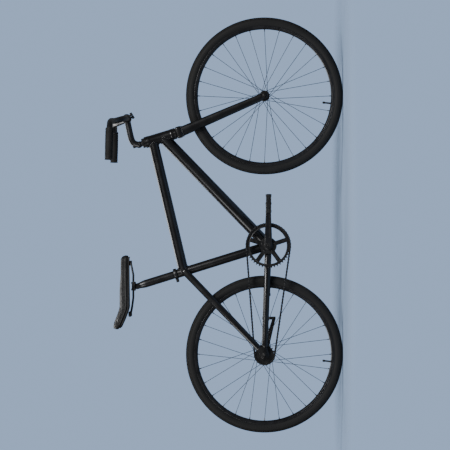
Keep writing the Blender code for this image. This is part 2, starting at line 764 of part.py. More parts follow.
def smooth_path(knots, steps):
    """A smooth curve through the knots, with the given steps between each two."""
    ends = [2 * knots[0] - knots[1]] + knots + [2 * knots[-1] - knots[-2]]
    points = []
    for a, b, c, d in zip(ends, ends[1:], ends[2:], ends[3:]):
        for step in range(steps):
            t = step / steps
            points.append(0.5 * (2 * b + (c - a) * t + (2 * a - 5 * b + 4 * c - d) * t * t
                                 + (3 * b - a - 3 * c + d) * t * t * t))
    return points + [knots[-1]]


def stem_neck_points():
    start = on_steering_axis(LOCKNUT_TOP + STEM_SHOULDER)
    rise = start + STEER_LINE * NECK_RISE
    bend = start + STEER_LINE * NECK_BEND_RISE + STEER_FRONT * NECK_BEND_REACH
    return smooth_path([start, rise, bend, CLAMP_CENTRE], 3)


def build_stem(axis):
    """A gooseneck whose quill slides in the steerer."""
    bottom = on_steering_axis(LOCKNUT_TOP - QUILL_DEPTH)
    stem = cylinder("stem", bottom, on_steering_axis(LOCKNUT_TOP + QUILL_TOP), QUILL_RADIUS)
    neck = wire("stem_neck", stem_neck_points(), NECK_RADIUS, 3)
    half = LATERAL * CLAMP_WIDTH / 2
    barrel = cylinder("stem_clamp", CLAMP_CENTRE - half, CLAMP_CENTRE + half,
                      BAR_RADIUS + GAP + CLAMP_WALL)
    join(stem, neck, barrel, solver="MANIFOLD")
    cut(stem, cylinder("stem_clamp_bore", CLAMP_CENTRE - half * 2, CLAMP_CENTRE + half * 2,
                       BAR_RADIUS + GAP))
    finish(stem, BLACK_ANODISED)
    hang([stem], axis)


def bar_knots():
    """Half of the bar: level in the clamp, up to its shoulder, then swept back to the grip."""
    shape = [(0.0, 0.0, 0.0), (0.0, 0.09, 0.0), (0.0, 0.14, 0.0), (-0.02, 0.33, 0.22), (-0.08, 0.52, 0.72),
             (-0.10, 0.70, 0.96), (-0.20, 0.86, 1.0), (-0.42, 0.945, 1.02), (-0.68, 0.985, 1.035),
             (-1.0, 1.0, 1.055)]
    return [CLAMP_CENTRE + Vector((x * BAR_SWEEP, y * BAR_HALF_WIDTH, z * BAR_RISE)) for x, y, z in shape]


def bar_half():
    return smooth_path(bar_knots(), 2)


def mirrored(point):
    return Vector((point.x, -point.y, point.z))


def bar_points():
    half = bar_half()
    return [mirrored(point) for point in reversed(half[1:])] + half


def end_of_path(points, length):
    """The last stretch of a path, cut to the length."""
    kept = [points[-1]]
    left = length
    for before, after in zip(reversed(points[:-1]), reversed(points[1:])):
        run = (after - before).length
        if run >= left:
            kept.append(after.lerp(before, left / run))
            break
        kept.append(before)
        left -= run
    return list(reversed(kept))


def build_handlebar(axis):
    """A cruiser bar, swept back, with a rubber grip on each end."""
    data = curve("handlebar", bar_points())
    data.bevel_depth = BAR_RADIUS
    data.bevel_resolution = 3
    bar = as_mesh(add_object("handlebar", data))
    skin = bar.modifiers.new("Wall", "SOLIDIFY")
    skin.thickness = BAR_WALL
    skin.offset = -1
    finish(bar, BLACK_ANODISED)
    pieces = [bar]
    for word, side in SIDES.items():
        half = bar_half() if side > 0 else [mirrored(point) for point in bar_half()]
        tip = half[-1] + (half[-1] - half[-2]).normalized() * GRIP_END_WALL
        stretch = end_of_path(half[:-1] + [tip], GRIP_LENGTH)
        grip = wire(f"grip_{word}", stretch, GRIP_RADIUS, 4)
        seat = half[:-1] + [half[-1] + (half[-1] - half[-2]).normalized() * GAP]
        hollow = wire(f"grip_{word}_bore", end_of_path(seat, GRIP_LENGTH + 2 * OVERRUN), BAR_RADIUS + GAP, 3)
        cut(grip, hollow)
        finish(grip, RUBBER)
        pieces.append(grip)
    hang(pieces, axis)


def build_seat_post(axis):
    """The post, closed at its head by the round pivot that the saddle tilts on."""
    top = CRANK_AXIS + SEAT_LINE * (POST_TOP - POST_WALL)
    bottom = CRANK_AXIS + SEAT_LINE * (POST_TOP - POST_LENGTH)
    post = cylinder("seat_post", bottom, top, POST_RADIUS)
    cut(post, cylinder("seat_post_bore", bottom - SEAT_LINE * OVERRUN, top - SEAT_LINE * POST_HEAD,
                       POST_RADIUS - POST_WALL))
    half = LATERAL * PIVOT_WIDTH / 2
    join(post, cylinder("seat_post_pivot", PIVOT - half, PIVOT + half, PIVOT_RADIUS))
    finish(post, BLACK_ANODISED)
    hang([post], axis)


def build_saddle_clamp(axis):
    rails = PIVOT + Vector((0, 0, RAIL_ABOVE_PIVOT))
    centre = PIVOT + Vector((0, 0, RAIL_ABOVE_PIVOT - CRADLE_DROP))
    clamp = box("saddle_clamp", centre, (CRADLE_LENGTH, CRADLE_WIDTH, CRADLE_HEIGHT))
    for word, side in SIDES.items():
        line = rails + LATERAL * side * RAIL_SPREAD
        reach = Vector((CRADLE_LENGTH, 0, 0))
        cut(clamp, cylinder(f"saddle_clamp_groove_{word}", line - reach, line + reach,
                            RAIL_RADIUS + GAP, 12))
    half = LATERAL * CRADLE_WIDTH
    cut(clamp, cylinder("saddle_clamp_recess", PIVOT - half, PIVOT + half, PIVOT_RADIUS + GAP))
    finish(clamp, BLACK_ANODISED)
    hang([clamp], axis)


def rail_points():
    """One wire: back end, forwards under the seat, round the nose and back on the other side."""
    level = PIVOT.z + RAIL_ABOVE_PIVOT
    front = saddle_x(0.10)
    back = saddle_x(0.80)
    rise = saddle_top(0.3) - SADDLE_THICKNESS - RAIL_CLEARANCE - RAIL_RADIUS - level
    side = [
        Vector((back, RAIL_SPREAD * 1.9, level + rise + SADDLE_TAIL_RISE * 0.05)),
        Vector((back + 0.028, RAIL_SPREAD * 1.45, level + rise * 0.55)),
        Vector((PIVOT.x - RAIL_STRAIGHT - 0.008, RAIL_SPREAD, level)),
        Vector((PIVOT.x - RAIL_STRAIGHT, RAIL_SPREAD, level)),
        Vector((PIVOT.x + RAIL_STRAIGHT, RAIL_SPREAD, level)),
        Vector((PIVOT.x + RAIL_STRAIGHT + 0.008, RAIL_SPREAD, level)),
        Vector((front - 0.018, RAIL_SPREAD * 0.72, level + rise * 0.66)),
        Vector((front, RAIL_SPREAD * 0.42, level + rise)),
    ]
    return side + [mirrored(point) for point in reversed(side)]


def saddle_x(share):
    """A place along the saddle, from 0 at the nose to 1 at the tail."""
    return PIVOT.x + SADDLE_NOSE_REACH - SADDLE_LENGTH * share


def saddle_half_width(share):
    """Narrow nose, then a smooth flare to the full width, rounded off at both ends."""
    flare = min(max((share - 0.12) / 0.68, 0), 1)
    flare = flare * flare * (3 - 2 * flare)
    width = SADDLE_NOSE_HALF_WIDTH + (SADDLE_HALF_WIDTH - SADDLE_NOSE_HALF_WIDTH) * flare
    nose = math.sqrt(max(1 - (1 - min(share / 0.085, 1)) ** 2, 0))
    tail = math.sqrt(max(1 - max((share - 0.84) / 0.16, 0) ** 2.4, 0))
    return width * (0.42 + 0.58 * nose) * (0.50 + 0.50 * tail)


def saddle_top(share):
    """Level for most of its length, then kicked up at the tail."""
    kick = max((share - 0.70) / 0.30, 0)
    nose_drop = 0.004 * (1 - min(share / 0.06, 1)) ** 2
    return PIVOT.z + SADDLE_TOP_ABOVE_PIVOT + SADDLE_TAIL_RISE * kick ** 1.25 - nose_drop


def saddle_ring(share, low, high, inset, crown):
    """A closed section across the saddle between two depths below its top."""
    x = saddle_x(share)
    half = saddle_half_width(share) - inset
    top = saddle_top(share) - high
    bottom = saddle_top(share) - low
    depth = top - bottom
    side = [(0.0, top), (0.45, top - crown * 0.25), (0.80, top - crown), (0.96, top - depth * 0.34),
            (1.0, top - depth * 0.58), (0.94, bottom + depth * 0.10), (0.80, bottom), (0.0, bottom)]
    left = [Vector((x, half * y, z)) for y, z in side]
    right = [mirrored(point) for point in reversed(left[1:-1])]
    return left + right


def loft(name, rings):
    """A closed skin over a row of like sections."""
    bm = bmesh.new()
    rows = [[bm.verts.new(point) for point in points] for points in rings]
    for near, far in zip(rows, rows[1:]):
        for index in range(len(near)):
            after = (index + 1) % len(near)
            bm.faces.new((near[index], near[after], far[after], far[index]))
    bm.faces.new(rows[0])
    bm.faces.new(rows[-1])
    return mesh_object(name, bm)


def build_saddle(axis):
    shares = [0.0, 0.02, 0.06, 0.14, 0.24, 0.36, 0.48, 0.60, 0.70, 0.78, 0.86, 0.93, 0.98, 1.0]
    seam = SADDLE_THICKNESS - SADDLE_BASE_THICKNESS
    cover = loft("saddle_cover", [saddle_ring(s, seam - GAP, 0, 0, SADDLE_CROWN) for s in shares])
    finish(cover, VINYL, 60)
    base = loft("saddle_base", [saddle_ring(s, SADDLE_THICKNESS, seam, 0.0025, 0.0) for s in shares[1:-1]])
    finish(base, PLASTIC, 50)
    rails = wire("saddle_rails", smooth_path(rail_points(), 2), RAIL_RADIUS, 2)
    finish(rails, BLACK_STEEL)
    hang([cover, base, rails], axis)


def spoke_net(name, centre, side, flange_radius, flange_plane, turn):
    """One flange's crossed spokes, which touch where they cross."""
    step = 2 * math.pi / SPOKES_PER_SIDE
    lean = SPOKE_CROSSINGS * step
    start_radius = flange_radius + GAP + SPOKE_RADIUS
    end_radius = RIM_INNER * math.cos(math.pi / FINE) - GAP
    pieces = []
    for index in range(SPOKES_PER_SIDE):
        way = 1 if index % 2 else -1
        hub_turn = turn + step * index - way * lean / 2
        rim_turn = turn + step * index + way * lean / 2
        near = wheel_point(centre, start_radius, hub_turn, side * (flange_plane + way * SPOKE_CROSSING_SHIFT))
        far = wheel_point(centre, end_radius, rim_turn, side * SPOKE_RIM_OFFSET)
        pieces.append(cylinder(f"{name}_{index + 1}", near, far, SPOKE_RADIUS, 3))
    net = pieces[0]
    net.name = name
    others = bpy.data.collections.new(f"{name}_others")
    cutters.children.link(others)
    for piece in pieces[1:]:
        helper(piece)
        others.objects.link(piece)
    boolean = net.modifiers.new("Crossings", "BOOLEAN")
    boolean.operation = "UNION"
    boolean.operand_type = "COLLECTION"
    boolean.collection = others
    return finish(net, BLACK_STEEL)


def wheel_point(centre, radius, angle, across):
    return centre + Vector((radius * math.cos(angle), across, radius * math.sin(angle)))


def tyre_profile():
    """The casing: a round outside, an open inside and two beads between the rim's flanges."""
    tube = TYRE_SECTION / 2
    middle = TYRE_RADIUS - tube
    shoulder = RIM_OUTER + GAP
    foot = math.asin((shoulder - middle) / tube)
    bead = RIM_WIDTH / 2 - RIM_WALL - GAP
    low = RIM_INNER + RIM_WALL + TYRE_BEAD_HEIGHT
    outer = arc((middle, 0), tube, math.pi / 2 - foot, foot - math.pi / 2, 8)
    inner = arc((middle, 0), tube - TYRE_WALL, -TYRE_OPEN_TURN, TYRE_OPEN_TURN, 4)
    neck = bead - TYRE_WALL
    return outer + [(shoulder, -bead), (low, -bead), (low, -neck)] + inner + [(low, neck), (low, bead),
                                                                              (shoulder, bead)]


def rim_profile():
    """Two flanges, a shelf inside each for the tyre's bead, and a deeper well between them."""
    half = RIM_WIDTH / 2
    inside = half - RIM_WALL
    floor = RIM_INNER + RIM_WALL
    shoulder = RIM_INNER + RIM_SHOULDER
    shelf = floor + TYRE_BEAD_HEIGHT - GAP
    return [(RIM_OUTER, half), (shoulder, half), (RIM_INNER, half * 0.45), (RIM_INNER, -half * 0.45),
            (shoulder, -half), (RIM_OUTER, -half), (RIM_OUTER, -inside), (shelf, -inside),
            (floor, -RIM_WELL), (floor, RIM_WELL), (shelf, inside), (RIM_OUTER, inside)]


def hub_profile(flange_radius, spacing, body_radius, width):
    half = width / 2
    plane = spacing / 2
    thick = FLANGE_THICKNESS / 2
    bore = AXLE_RADIUS + GAP
    end = HUB_END_RADIUS
    return [(end, half), (end, plane + thick), (flange_radius, plane + thick),
            (flange_radius, plane - thick), (body_radius, plane - thick * 2.5),
            (body_radius, -plane + thick * 2.5), (flange_radius, -plane + thick),
            (flange_radius, -plane - thick), (end, -plane - thick), (end, -half), (bore, -half),
            (bore, half)]


def build_wheel(place, axis, centre, flange_radius, spacing, body_radius, width):
    upright = aim(centre, LATERAL)
    tyre = finish(turned(f"{place}_tyre", tyre_profile(), upright, FINE), RUBBER)
    rim = finish(turned(f"{place}_rim", rim_profile(), upright, FINE), BLACK_ANODISED)
    hub = turned(f"{place}_hub_shell", hub_profile(flange_radius, spacing, body_radius, width), upright)
    finish(hub, BLACK_ANODISED)
    pieces = [tyre, rim, hub]
    for word, side in SIDES.items():
        turn = 0.0 if side > 0 else math.pi / SPOKES_PER_SIDE
        pieces.append(spoke_net(f"{place}_spokes_{word}", centre, side, flange_radius, spacing / 2, turn))
    hang(pieces, axis)


def chain_lean():
    """How far each chain run leans against the line between the two axes, and that line's tilt."""
    apart = CRANK_AXIS - REAR_AXLE
    return math.asin((CHAINRING_RADIUS - SPROCKET_RADIUS) / apart.length), math.atan2(apart.z, apart.x)


def tooth_turns():
    """The turn of each wheel's first tooth, with the chain's rollers in the spaces of both."""
    lean, tilt = chain_lean()
    leaving = tilt + math.pi / 2 + lean
    run = (CRANK_AXIS - REAR_AXLE).length * math.cos(lean) / CHAIN_PITCH
    before = run % 1
    return (leaving + math.pi / CHAINRING_TEETH,
            leaving + 2 * math.pi / SPROCKET_TEETH * (1.5 - before))


def toothed_outline(centre, teeth, pitch_radius, turn):
    root = pitch_radius - ROLLER_RADIUS
    tip = pitch_radius + TOOTH_HEIGHT
    step = 2 * math.pi / teeth
    points = []
    for tooth in range(teeth):
        for share, radius in ((-0.24, root), (-0.07, tip), (0.07, tip), (0.24, root)):
            angle = turn + step * (tooth + share)
            points.append((centre.x + radius * math.cos(angle), centre.z + radius * math.sin(angle)))
    return points


def chainring_window(index):
    """The opening between two of the chainring's arms."""
    inner = CHAINRING_BOSS_RADIUS
    outer = CHAINRING_RADIUS - CHAINRING_BAND
    middle = 2 * math.pi * (index + 0.5) / CHAINRING_ARMS
    half = math.pi / CHAINRING_ARMS
    near = half - CHAINRING_ARM_HALF_WIDTH / inner
    far = half - CHAINRING_ARM_HALF_WIDTH / outer
    centre = (CRANK_AXIS.x, CRANK_AXIS.z)
    return arc(centre, outer, middle - far, middle + far, 6) + arc(centre, inner, middle + near, middle - near, 3)


def build_drive(crank_axis, sprocket_axis):
    plane = -CHAIN_LINE
    bore = circle((CRANK_AXIS.x, CRANK_AXIS.z), SPINDLE_RADIUS + GAP)
    windows = [chainring_window(index) for index in range(CHAINRING_ARMS)]
    ring_turn, sprocket_turn = tooth_turns()
    teeth = toothed_outline(CRANK_AXIS, CHAINRING_TEETH, CHAINRING_RADIUS, ring_turn)
    chainring = outline("chainring", [teeth, bore] + windows, TOOTH_THICKNESS, plane)
    finish(chainring, BLACK_ANODISED, 30)
    half = LATERAL * (CRANK_INNER_FACE + CRANK_THICKNESS)
    spindle = cylinder("crank_spindle", CRANK_AXIS - half, CRANK_AXIS + half, SPINDLE_RADIUS)
    finish(spindle, BLACK_STEEL)
    hang([chainring, spindle], crank_axis)
    middle = REAR_AXLE + LATERAL * plane
    teeth = toothed_outline(REAR_AXLE, SPROCKET_TEETH, SPROCKET_RADIUS, sprocket_turn)
    sprocket = outline("rear_sprocket", [teeth], TOOTH_THICKNESS, plane)
    start = middle + LATERAL * DRIVER_INNER
    end = start - LATERAL * DRIVER_WIDTH
    join(sprocket, cylinder("driver", start, end, DRIVER_RADIUS))
    cut(sprocket, cylinder("driver_bore", start + LATERAL * OVERRUN, end - LATERAL * OVERRUN,
                           AXLE_RADIUS + GAP))
    finish(sprocket, BLACK_STEEL, 30)
    hang([sprocket], sprocket_axis)
    build_chain()
    for word, side in SIDES.items():
        face = SHELL_WIDTH / 2
        cup = turned(f"bottom_bracket_cup_{word}", [
            (BEARING_CUP_RADIUS, face + GAP + BEARING_CUP_FLANGE), (BEARING_CUP_RADIUS, face + GAP),
            (SHELL_BORE - GAP, face + GAP), (SHELL_BORE - GAP, face - BEARING_CUP_DEPTH),
            (SPINDLE_RADIUS + GAP, face - BEARING_CUP_DEPTH), (SPINDLE_RADIUS + GAP, face + GAP + BEARING_CUP_FLANGE)],
            aim(CRANK_AXIS, LATERAL * side))
        finish(cup, BLACK_STEEL)


def chain_path():
    """The pitch line round both wheels, as seen from the drive side, the sprocket's arc first."""
    lean, tilt = chain_lean()
    top = tilt + math.pi / 2 + lean
    low = tilt - math.pi / 2 - lean
    small = arc((REAR_AXLE.x, REAR_AXLE.z), SPROCKET_RADIUS, top, low + 2 * math.pi, 9)
    large = arc((CRANK_AXIS.x, CRANK_AXIS.z), CHAINRING_RADIUS, low, top, 18)
    return small + large


def build_chain():
    """A closed band with two plate walls and a back that stays outside the teeth."""
    wide = CHAIN_HALF_WIDTH
    inside = wide - CHAIN_PLATE
    low = -CHAIN_HALF_HEIGHT
    back = TOOTH_HEIGHT + 2 * GAP
    high = back + CHAIN_BACK
    guide = section("chain_section", [(wide, low), (wide, high), (-wide, high), (-wide, low),
                                      (-inside, low), (-inside, back), (inside, back), (inside, low)])
    data = curve("chain", [Vector((x, -CHAIN_LINE, z)) for x, z in chain_path()], cyclic=True)
    data.bevel_mode = "OBJECT"
    data.bevel_object = guide
    chain = as_mesh(add_object("chain", data))
    bpy.data.objects.remove(guide)
    finish(chain, CHAIN_STEEL)


def crank_tip(side):
    """Where the pedal screws in: forwards on the right, backwards on the left."""
    return CRANK_AXIS + Vector((-side * CRANK_LENGTH, 0, 0))


def build_cranks(crank_axis, pedal_axes):
    for word, side in SIDES.items():
        inner = CRANK_INNER_FACE + CRANK_THICKNESS / 2
        boss = CRANK_AXIS + LATERAL * side * inner
        tip = crank_tip(side) + LATERAL * side * (inner + CRANK_SPLAY)
        arm = wrapped_discs(f"crank_arm_{word}", [(boss, CRANK_BOSS_RADIUS, CRANK_THICKNESS),
                                                  (tip, CRANK_TIP_RADIUS, CRANK_THICKNESS)])
        reach = LATERAL * 3 * OVERRUN
        cut(arm, cylinder(f"crank_arm_{word}_bore", boss - reach, boss + reach, SPINDLE_RADIUS + GAP))
        cut(arm, cylinder(f"crank_arm_{word}_thread", tip - reach, tip + reach,
                          PEDAL_SPINDLE_RADIUS + GAP, 12))
        finish(arm, BLACK_ANODISED)
        near = crank_tip(side) + LATERAL * side * (PEDAL_INNER - PEDAL_CLEARANCE - CRANK_THICKNESS)
        far = crank_tip(side) + LATERAL * side * (PEDAL_INNER + PEDAL_WIDTH - PEDAL_END_WALL)
        spindle = cylinder(f"pedal_spindle_{word}", near, far, PEDAL_SPINDLE_RADIUS, 12)
        finish(spindle, BLACK_STEEL)
        hang([arm, spindle], crank_axis)
        hang([build_pedal(word, side)], pedal_axes[word])


def build_pedal(word, side):
    """A platform pedal: a barrel on the spindle inside a frame of four bars."""
    centre = crank_tip(side) + LATERAL * side * (PEDAL_INNER + PEDAL_WIDTH / 2)
    pedal = box(f"pedal_{word}", centre, (PEDAL_LENGTH, PEDAL_WIDTH, PEDAL_THICKNESS))
    gap_length = (PEDAL_LENGTH - 2 * PEDAL_BAR) / 2 - PEDAL_BARREL_RADIUS
    for way in (-1, 1):
        shift = way * (PEDAL_BARREL_RADIUS + gap_length / 2)
        window = box(f"pedal_{word}_window_{way + 2}", centre + Vector((shift, 0, 0)),
                     (gap_length, PEDAL_WIDTH - 2 * PEDAL_BAR, PEDAL_THICKNESS * 2))
        cut(pedal, window)
    outward = LATERAL * side
    inside = centre - outward * (PEDAL_WIDTH / 2 + OVERRUN)
    bottom = centre + outward * (PEDAL_WIDTH / 2 - PEDAL_BORE_END)
    cut(pedal, cylinder(f"pedal_{word}_bore", inside, bottom, PEDAL_SPINDLE_RADIUS + GAP, 12))
    return finish(pedal, PLASTIC)


def build_brake_arm():
    """The lever that carries the back-pedal brake's pull to the left chain stay."""
    axle_end = REAR_AXLE + LATERAL * BRAKE_ARM_PLANE
    stay_end = axle_end + Vector((BRAKE_ARM_LENGTH, 0, -BRAKE_ARM_DROP))
    arm = wrapped_discs("coaster_brake_arm", [(axle_end, BRAKE_ARM_RADIUS, BRAKE_ARM_THICKNESS),
                                              (stay_end, BRAKE_ARM_TIP_RADIUS, BRAKE_ARM_THICKNESS)])
    reach = LATERAL * OVERRUN
    cut(arm, cylinder("brake_arm_bore", axle_end - reach, axle_end + reach, AXLE_RADIUS + GAP, 12))
    cut(arm, cylinder("brake_arm_bolt_hole", stay_end - reach, stay_end + reach,
                      BRAKE_ARM_BOLT_RADIUS, 8))
    finish(arm, BLACK_STEEL)


def build_bicycle():
    steering = joint_axis("steering_axis", STEER_FOOT, STEER_LINE)
    front_spin = joint_axis("front_wheel_axis", FRONT_AXLE, LATERAL, steering)
    rear_spin = joint_axis("rear_wheel_axis", REAR_AXLE, LATERAL)
    sprocket_spin = joint_axis("sprocket_axis", REAR_AXLE, LATERAL)
    crank_spin = joint_axis("crank_axis", CRANK_AXIS, LATERAL)
    pedal_spins = {word: joint_axis(f"pedal_axis_{word}", crank_tip(side), LATERAL, crank_spin)
                   for word, side in SIDES.items()}
    stem_slide = joint_axis("stem_height_axis", on_steering_axis(LOCKNUT_TOP), STEER_LINE, steering)
    bar_roll = joint_axis("handlebar_axis", CLAMP_CENTRE, LATERAL, stem_slide)
    post_slide = joint_axis("seat_height_axis", CRANK_AXIS, SEAT_LINE)
    saddle_tilt = joint_axis("saddle_tilt_axis", PIVOT, LATERAL, post_slide)
    saddle_slide = joint_axis("saddle_slide_axis", PIVOT, Vector((1, 0, 0)), saddle_tilt)
    build_frame()
    build_headset()
    build_fork(steering)
    build_axles(steering)
    build_stem(stem_slide)
    build_handlebar(bar_roll)
    build_seat_post(post_slide)
    build_saddle_clamp(saddle_tilt)
    build_saddle(saddle_slide)
    build_wheel("front", front_spin, FRONT_AXLE, FRONT_FLANGE_RADIUS, FRONT_FLANGE_SPACING,
                FRONT_HUB_RADIUS, FRONT_HUB_WIDTH)
    build_wheel("rear", rear_spin, REAR_AXLE, REAR_FLANGE_RADIUS, REAR_FLANGE_SPACING,
                REAR_HUB_RADIUS, REAR_HUB_WIDTH)
    build_drive(crank_spin, sprocket_spin)
    build_cranks(crank_spin, pedal_spins)
    build_brake_arm()


clear_scene()
bicycle = collection("bicycle")
cutters = collection("cutters")
build_bicycle()
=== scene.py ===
# %% [markdown]
# # A single-speed city bicycle
#
# A steel diamond frame, wire-spoked wheels, one sprocket and a back-pedal brake, all in black.
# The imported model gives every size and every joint. This file dresses it piece by piece: tubes
# and their welds first, then the wheels, the fork, the controls, the saddle and the drive, and
# last the floor, the light and the camera. Lengths are metres, +X is forwards, +Y is the rider's
# left and +Z is up.

# %% Start with an empty scene and load the frame
import json
import math

import bmesh
import bpy
from mathutils import Matrix, Vector
from mathutils.bvhtree import BVHTree
from mathutils.kdtree import KDTree

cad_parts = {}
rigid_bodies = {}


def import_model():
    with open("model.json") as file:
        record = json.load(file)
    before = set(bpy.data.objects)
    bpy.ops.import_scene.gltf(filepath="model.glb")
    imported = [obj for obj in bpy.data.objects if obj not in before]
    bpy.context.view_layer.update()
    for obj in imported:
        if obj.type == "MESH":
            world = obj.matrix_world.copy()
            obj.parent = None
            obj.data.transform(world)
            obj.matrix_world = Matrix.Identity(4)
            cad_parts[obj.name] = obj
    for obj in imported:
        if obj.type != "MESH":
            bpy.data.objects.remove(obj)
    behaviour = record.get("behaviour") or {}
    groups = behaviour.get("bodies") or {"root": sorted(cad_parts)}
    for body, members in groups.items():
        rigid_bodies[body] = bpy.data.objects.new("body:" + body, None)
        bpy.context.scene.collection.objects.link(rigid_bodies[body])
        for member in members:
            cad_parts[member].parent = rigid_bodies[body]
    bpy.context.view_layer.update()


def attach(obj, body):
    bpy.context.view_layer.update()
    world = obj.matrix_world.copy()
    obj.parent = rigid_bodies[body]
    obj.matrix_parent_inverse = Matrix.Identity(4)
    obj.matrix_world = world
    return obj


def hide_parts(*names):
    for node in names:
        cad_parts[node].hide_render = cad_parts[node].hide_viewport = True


for spare in list(bpy.data.objects):
    bpy.data.objects.remove(spare)

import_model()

# %% [markdown]
# The bicycle's plan. Each number is one that the solids were made from, so what is modelled here
# lies on the same axes. The axles, the crank, the seat line and the steering line are the bones
# that everything else hangs on.

# %% The plan: axles, seat line and steering line
GAP = 0.0003
FULL_TURN = 2 * math.pi
BEAD_SEAT_RADIUS = 0.2795
TYRE_SECTION = 0.040
TYRE_RADIUS = BEAD_SEAT_RADIUS + TYRE_SECTION
WHEELBASE = 1.050
CHAIN_STAY_LENGTH = 0.4418
BOTTOM_BRACKET_DROP = 0.015
SEAT_ANGLE = math.radians(72.7)
HEAD_ANGLE = math.radians(73.0)
FORK_RAKE = 0.040

FORWARD, LATERAL, UPWARD = Vector((1, 0, 0)), Vector((0, 1, 0)), Vector((0, 0, 1))
REAR_AXLE = Vector((-WHEELBASE / 2, 0, TYRE_RADIUS))
FRONT_AXLE = Vector((WHEELBASE / 2, 0, TYRE_RADIUS))
STAY_RUN = math.sqrt(CHAIN_STAY_LENGTH**2 - BOTTOM_BRACKET_DROP**2)
CRANK_AXIS = REAR_AXLE + Vector((STAY_RUN, 0, -BOTTOM_BRACKET_DROP))
SEAT_LINE = Vector((-math.cos(SEAT_ANGLE), 0, math.sin(SEAT_ANGLE)))
SEAT_BACK = Vector((-math.sin(SEAT_ANGLE), 0, -math.cos(SEAT_ANGLE)))
STEER_LINE = Vector((-math.cos(HEAD_ANGLE), 0, math.sin(HEAD_ANGLE)))
STEER_FRONT = Vector((math.sin(HEAD_ANGLE), 0, math.cos(HEAD_ANGLE)))
STEER_FOOT = FRONT_AXLE - STEER_FRONT * FORK_RAKE
SIDES = {"left": 1, "right": -1}
print("crank axis", [round(v, 4) for v in CRANK_AXIS])


def seat_point(distance):
    """A point on the seat tube's axis, measured up from the crank."""
    return CRANK_AXIS + SEAT_LINE * distance


def steer_point(distance):
    """A point on the steering axis, measured up from beside the front axle."""
    return STEER_FOOT + STEER_LINE * distance


def wheel_point(centre, radius, angle, across):
    """A point on a circle round an axle, so far to the left of it."""
    return centre + Vector((radius * math.cos(angle), across, radius * math.sin(angle)))


# %% [markdown]
# ## Finishes
#
# Everything is black, so the finishes have to differ in how they catch light. Powder coat has a
# soft orange-peel skin, anodised alloy a fine satin grain, blackened steel a harder glint, and
# rubber and vinyl hardly any gloss. Each finish is one small node tree: a broad noise shifts the
# colour and the roughness a little, and a fine one makes the grain. All patterns read Object
# coordinates, and since every piece sits at the origin unturned, one metre there is one metre.

# %% Helpers that add, join and find nodes
def node(tree, kind, **settings):
    """A node with its properties and its input values set by name."""
    made = tree.nodes.new(kind)
    values = settings.pop("inputs", {})
    for name, value in settings.items():
        setattr(made, name, value)
    for name, value in values.items():
        made.inputs[name].default_value = value
    return made


def wire(tree, *links):
    """Joins nodes. Each link is (source, output, target, input)."""
    for source, output, target, socket in links:
        tree.links.new(source.outputs[output], target.inputs[socket])


def found(tree, kind):
    return next(n for n in tree.nodes if n.type == kind)


# %% The finish that all the others start from
def grained(name, dark, light, rough, metallic=0.0, patch=18.0, grain=900.0, depth=0.00003,
            **sockets):
    """A finish with broad shifts of tone and gloss and a fine grain, sizes per metre."""
    material = bpy.data.materials.new(name)
    material.use_nodes = True
    tree = material.node_tree
    shader = tree.nodes["Principled BSDF"]
    shader.inputs["Metallic"].default_value = metallic
    for socket, value in sockets.items():
        shader.inputs[socket.replace("_", " ")].default_value = value
    place = node(tree, "ShaderNodeTexCoord")
    broad = node(tree, "ShaderNodeTexNoise",
                 inputs={"Scale": patch, "Detail": 6.0, "Roughness": 0.62})
    tone = node(tree, "ShaderNodeValToRGB")
    for stop, position, colour in zip(tone.color_ramp.elements, (0.35, 0.72), (dark, light)):
        stop.position = position
        stop.color = (*colour, 1)
    gloss = node(tree, "ShaderNodeMapRange",
                 inputs={"From Min": 0.3, "From Max": 0.7, "To Min": rough[0], "To Max": rough[1]})
    fine = node(tree, "ShaderNodeTexNoise", inputs={"Scale": grain, "Detail": 3.0})
    skin = node(tree, "ShaderNodeBump", inputs={"Strength": 1.0, "Distance": depth})
    wire(tree, (place, "Object", broad, "Vector"), (place, "Object", fine, "Vector"),
         (broad, "Fac", tone, "Fac"), (broad, "Fac", gloss, "Value"),
         (tone, "Color", shader, "Base Color"), (gloss, "Result", shader, "Roughness"),
         (fine, "Fac", skin, "Height"), (skin, "Normal", shader, "Normal"))
    return material


STEEL_LOOK = dict(dark=(0.007, 0.007, 0.008), light=(0.019, 0.0185, 0.018), rough=(0.24, 0.42),
                  metallic=0.40, patch=60.0, grain=1800.0, Specular_IOR_Level=0.50)
POWDER_COAT = grained("powder_coat", (0.0012, 0.0012, 0.0016), (0.0034, 0.0034, 0.0040),
                      (0.24, 0.36), grain=700.0, Specular_IOR_Level=0.36, Coat_Weight=0.30,
                      Coat_Roughness=0.12)
ANODISED = grained("black_anodised_alloy", (0.005, 0.005, 0.006), (0.011, 0.011, 0.0125),
                   (0.26, 0.38), 0.30, 30.0, 2400.0, 0.00002, Specular_IOR_Level=0.58)
BLACK_STEEL = grained("blackened_steel", **STEEL_LOOK)
BRIGHT_WEAR = grained("worn_steel", (0.05, 0.049, 0.048), (0.12, 0.117, 0.113), (0.22, 0.40), 1.0,
                      160.0, 2600.0)
PLASTIC = grained("moulded_plastic", (0.0030, 0.0030, 0.0034), (0.0070, 0.0070, 0.0074),
                  (0.44, 0.58), 0.0, 40.0, 1500.0, 0.00008, Specular_IOR_Level=0.32)
GRIP_RUBBER = grained("grip_rubber", (0.0030, 0.0030, 0.0030), (0.0070, 0.0070, 0.0068),
                      (0.62, 0.80), 0.0, 45.0, 1300.0, 0.00010, Specular_IOR_Level=0.26,
                      Sheen_Weight=0.04, Sheen_Roughness=0.5)
THREAD = grained("stitching_thread", (0.012, 0.012, 0.0125), (0.026, 0.026, 0.0265), (0.70, 0.85),
                 0.0, 200.0, 4000.0, 0.00010)

# %% Steel that the chain has rubbed
A_COLOUR, B_COLOUR, MIXED_COLOUR = 6, 7, 2


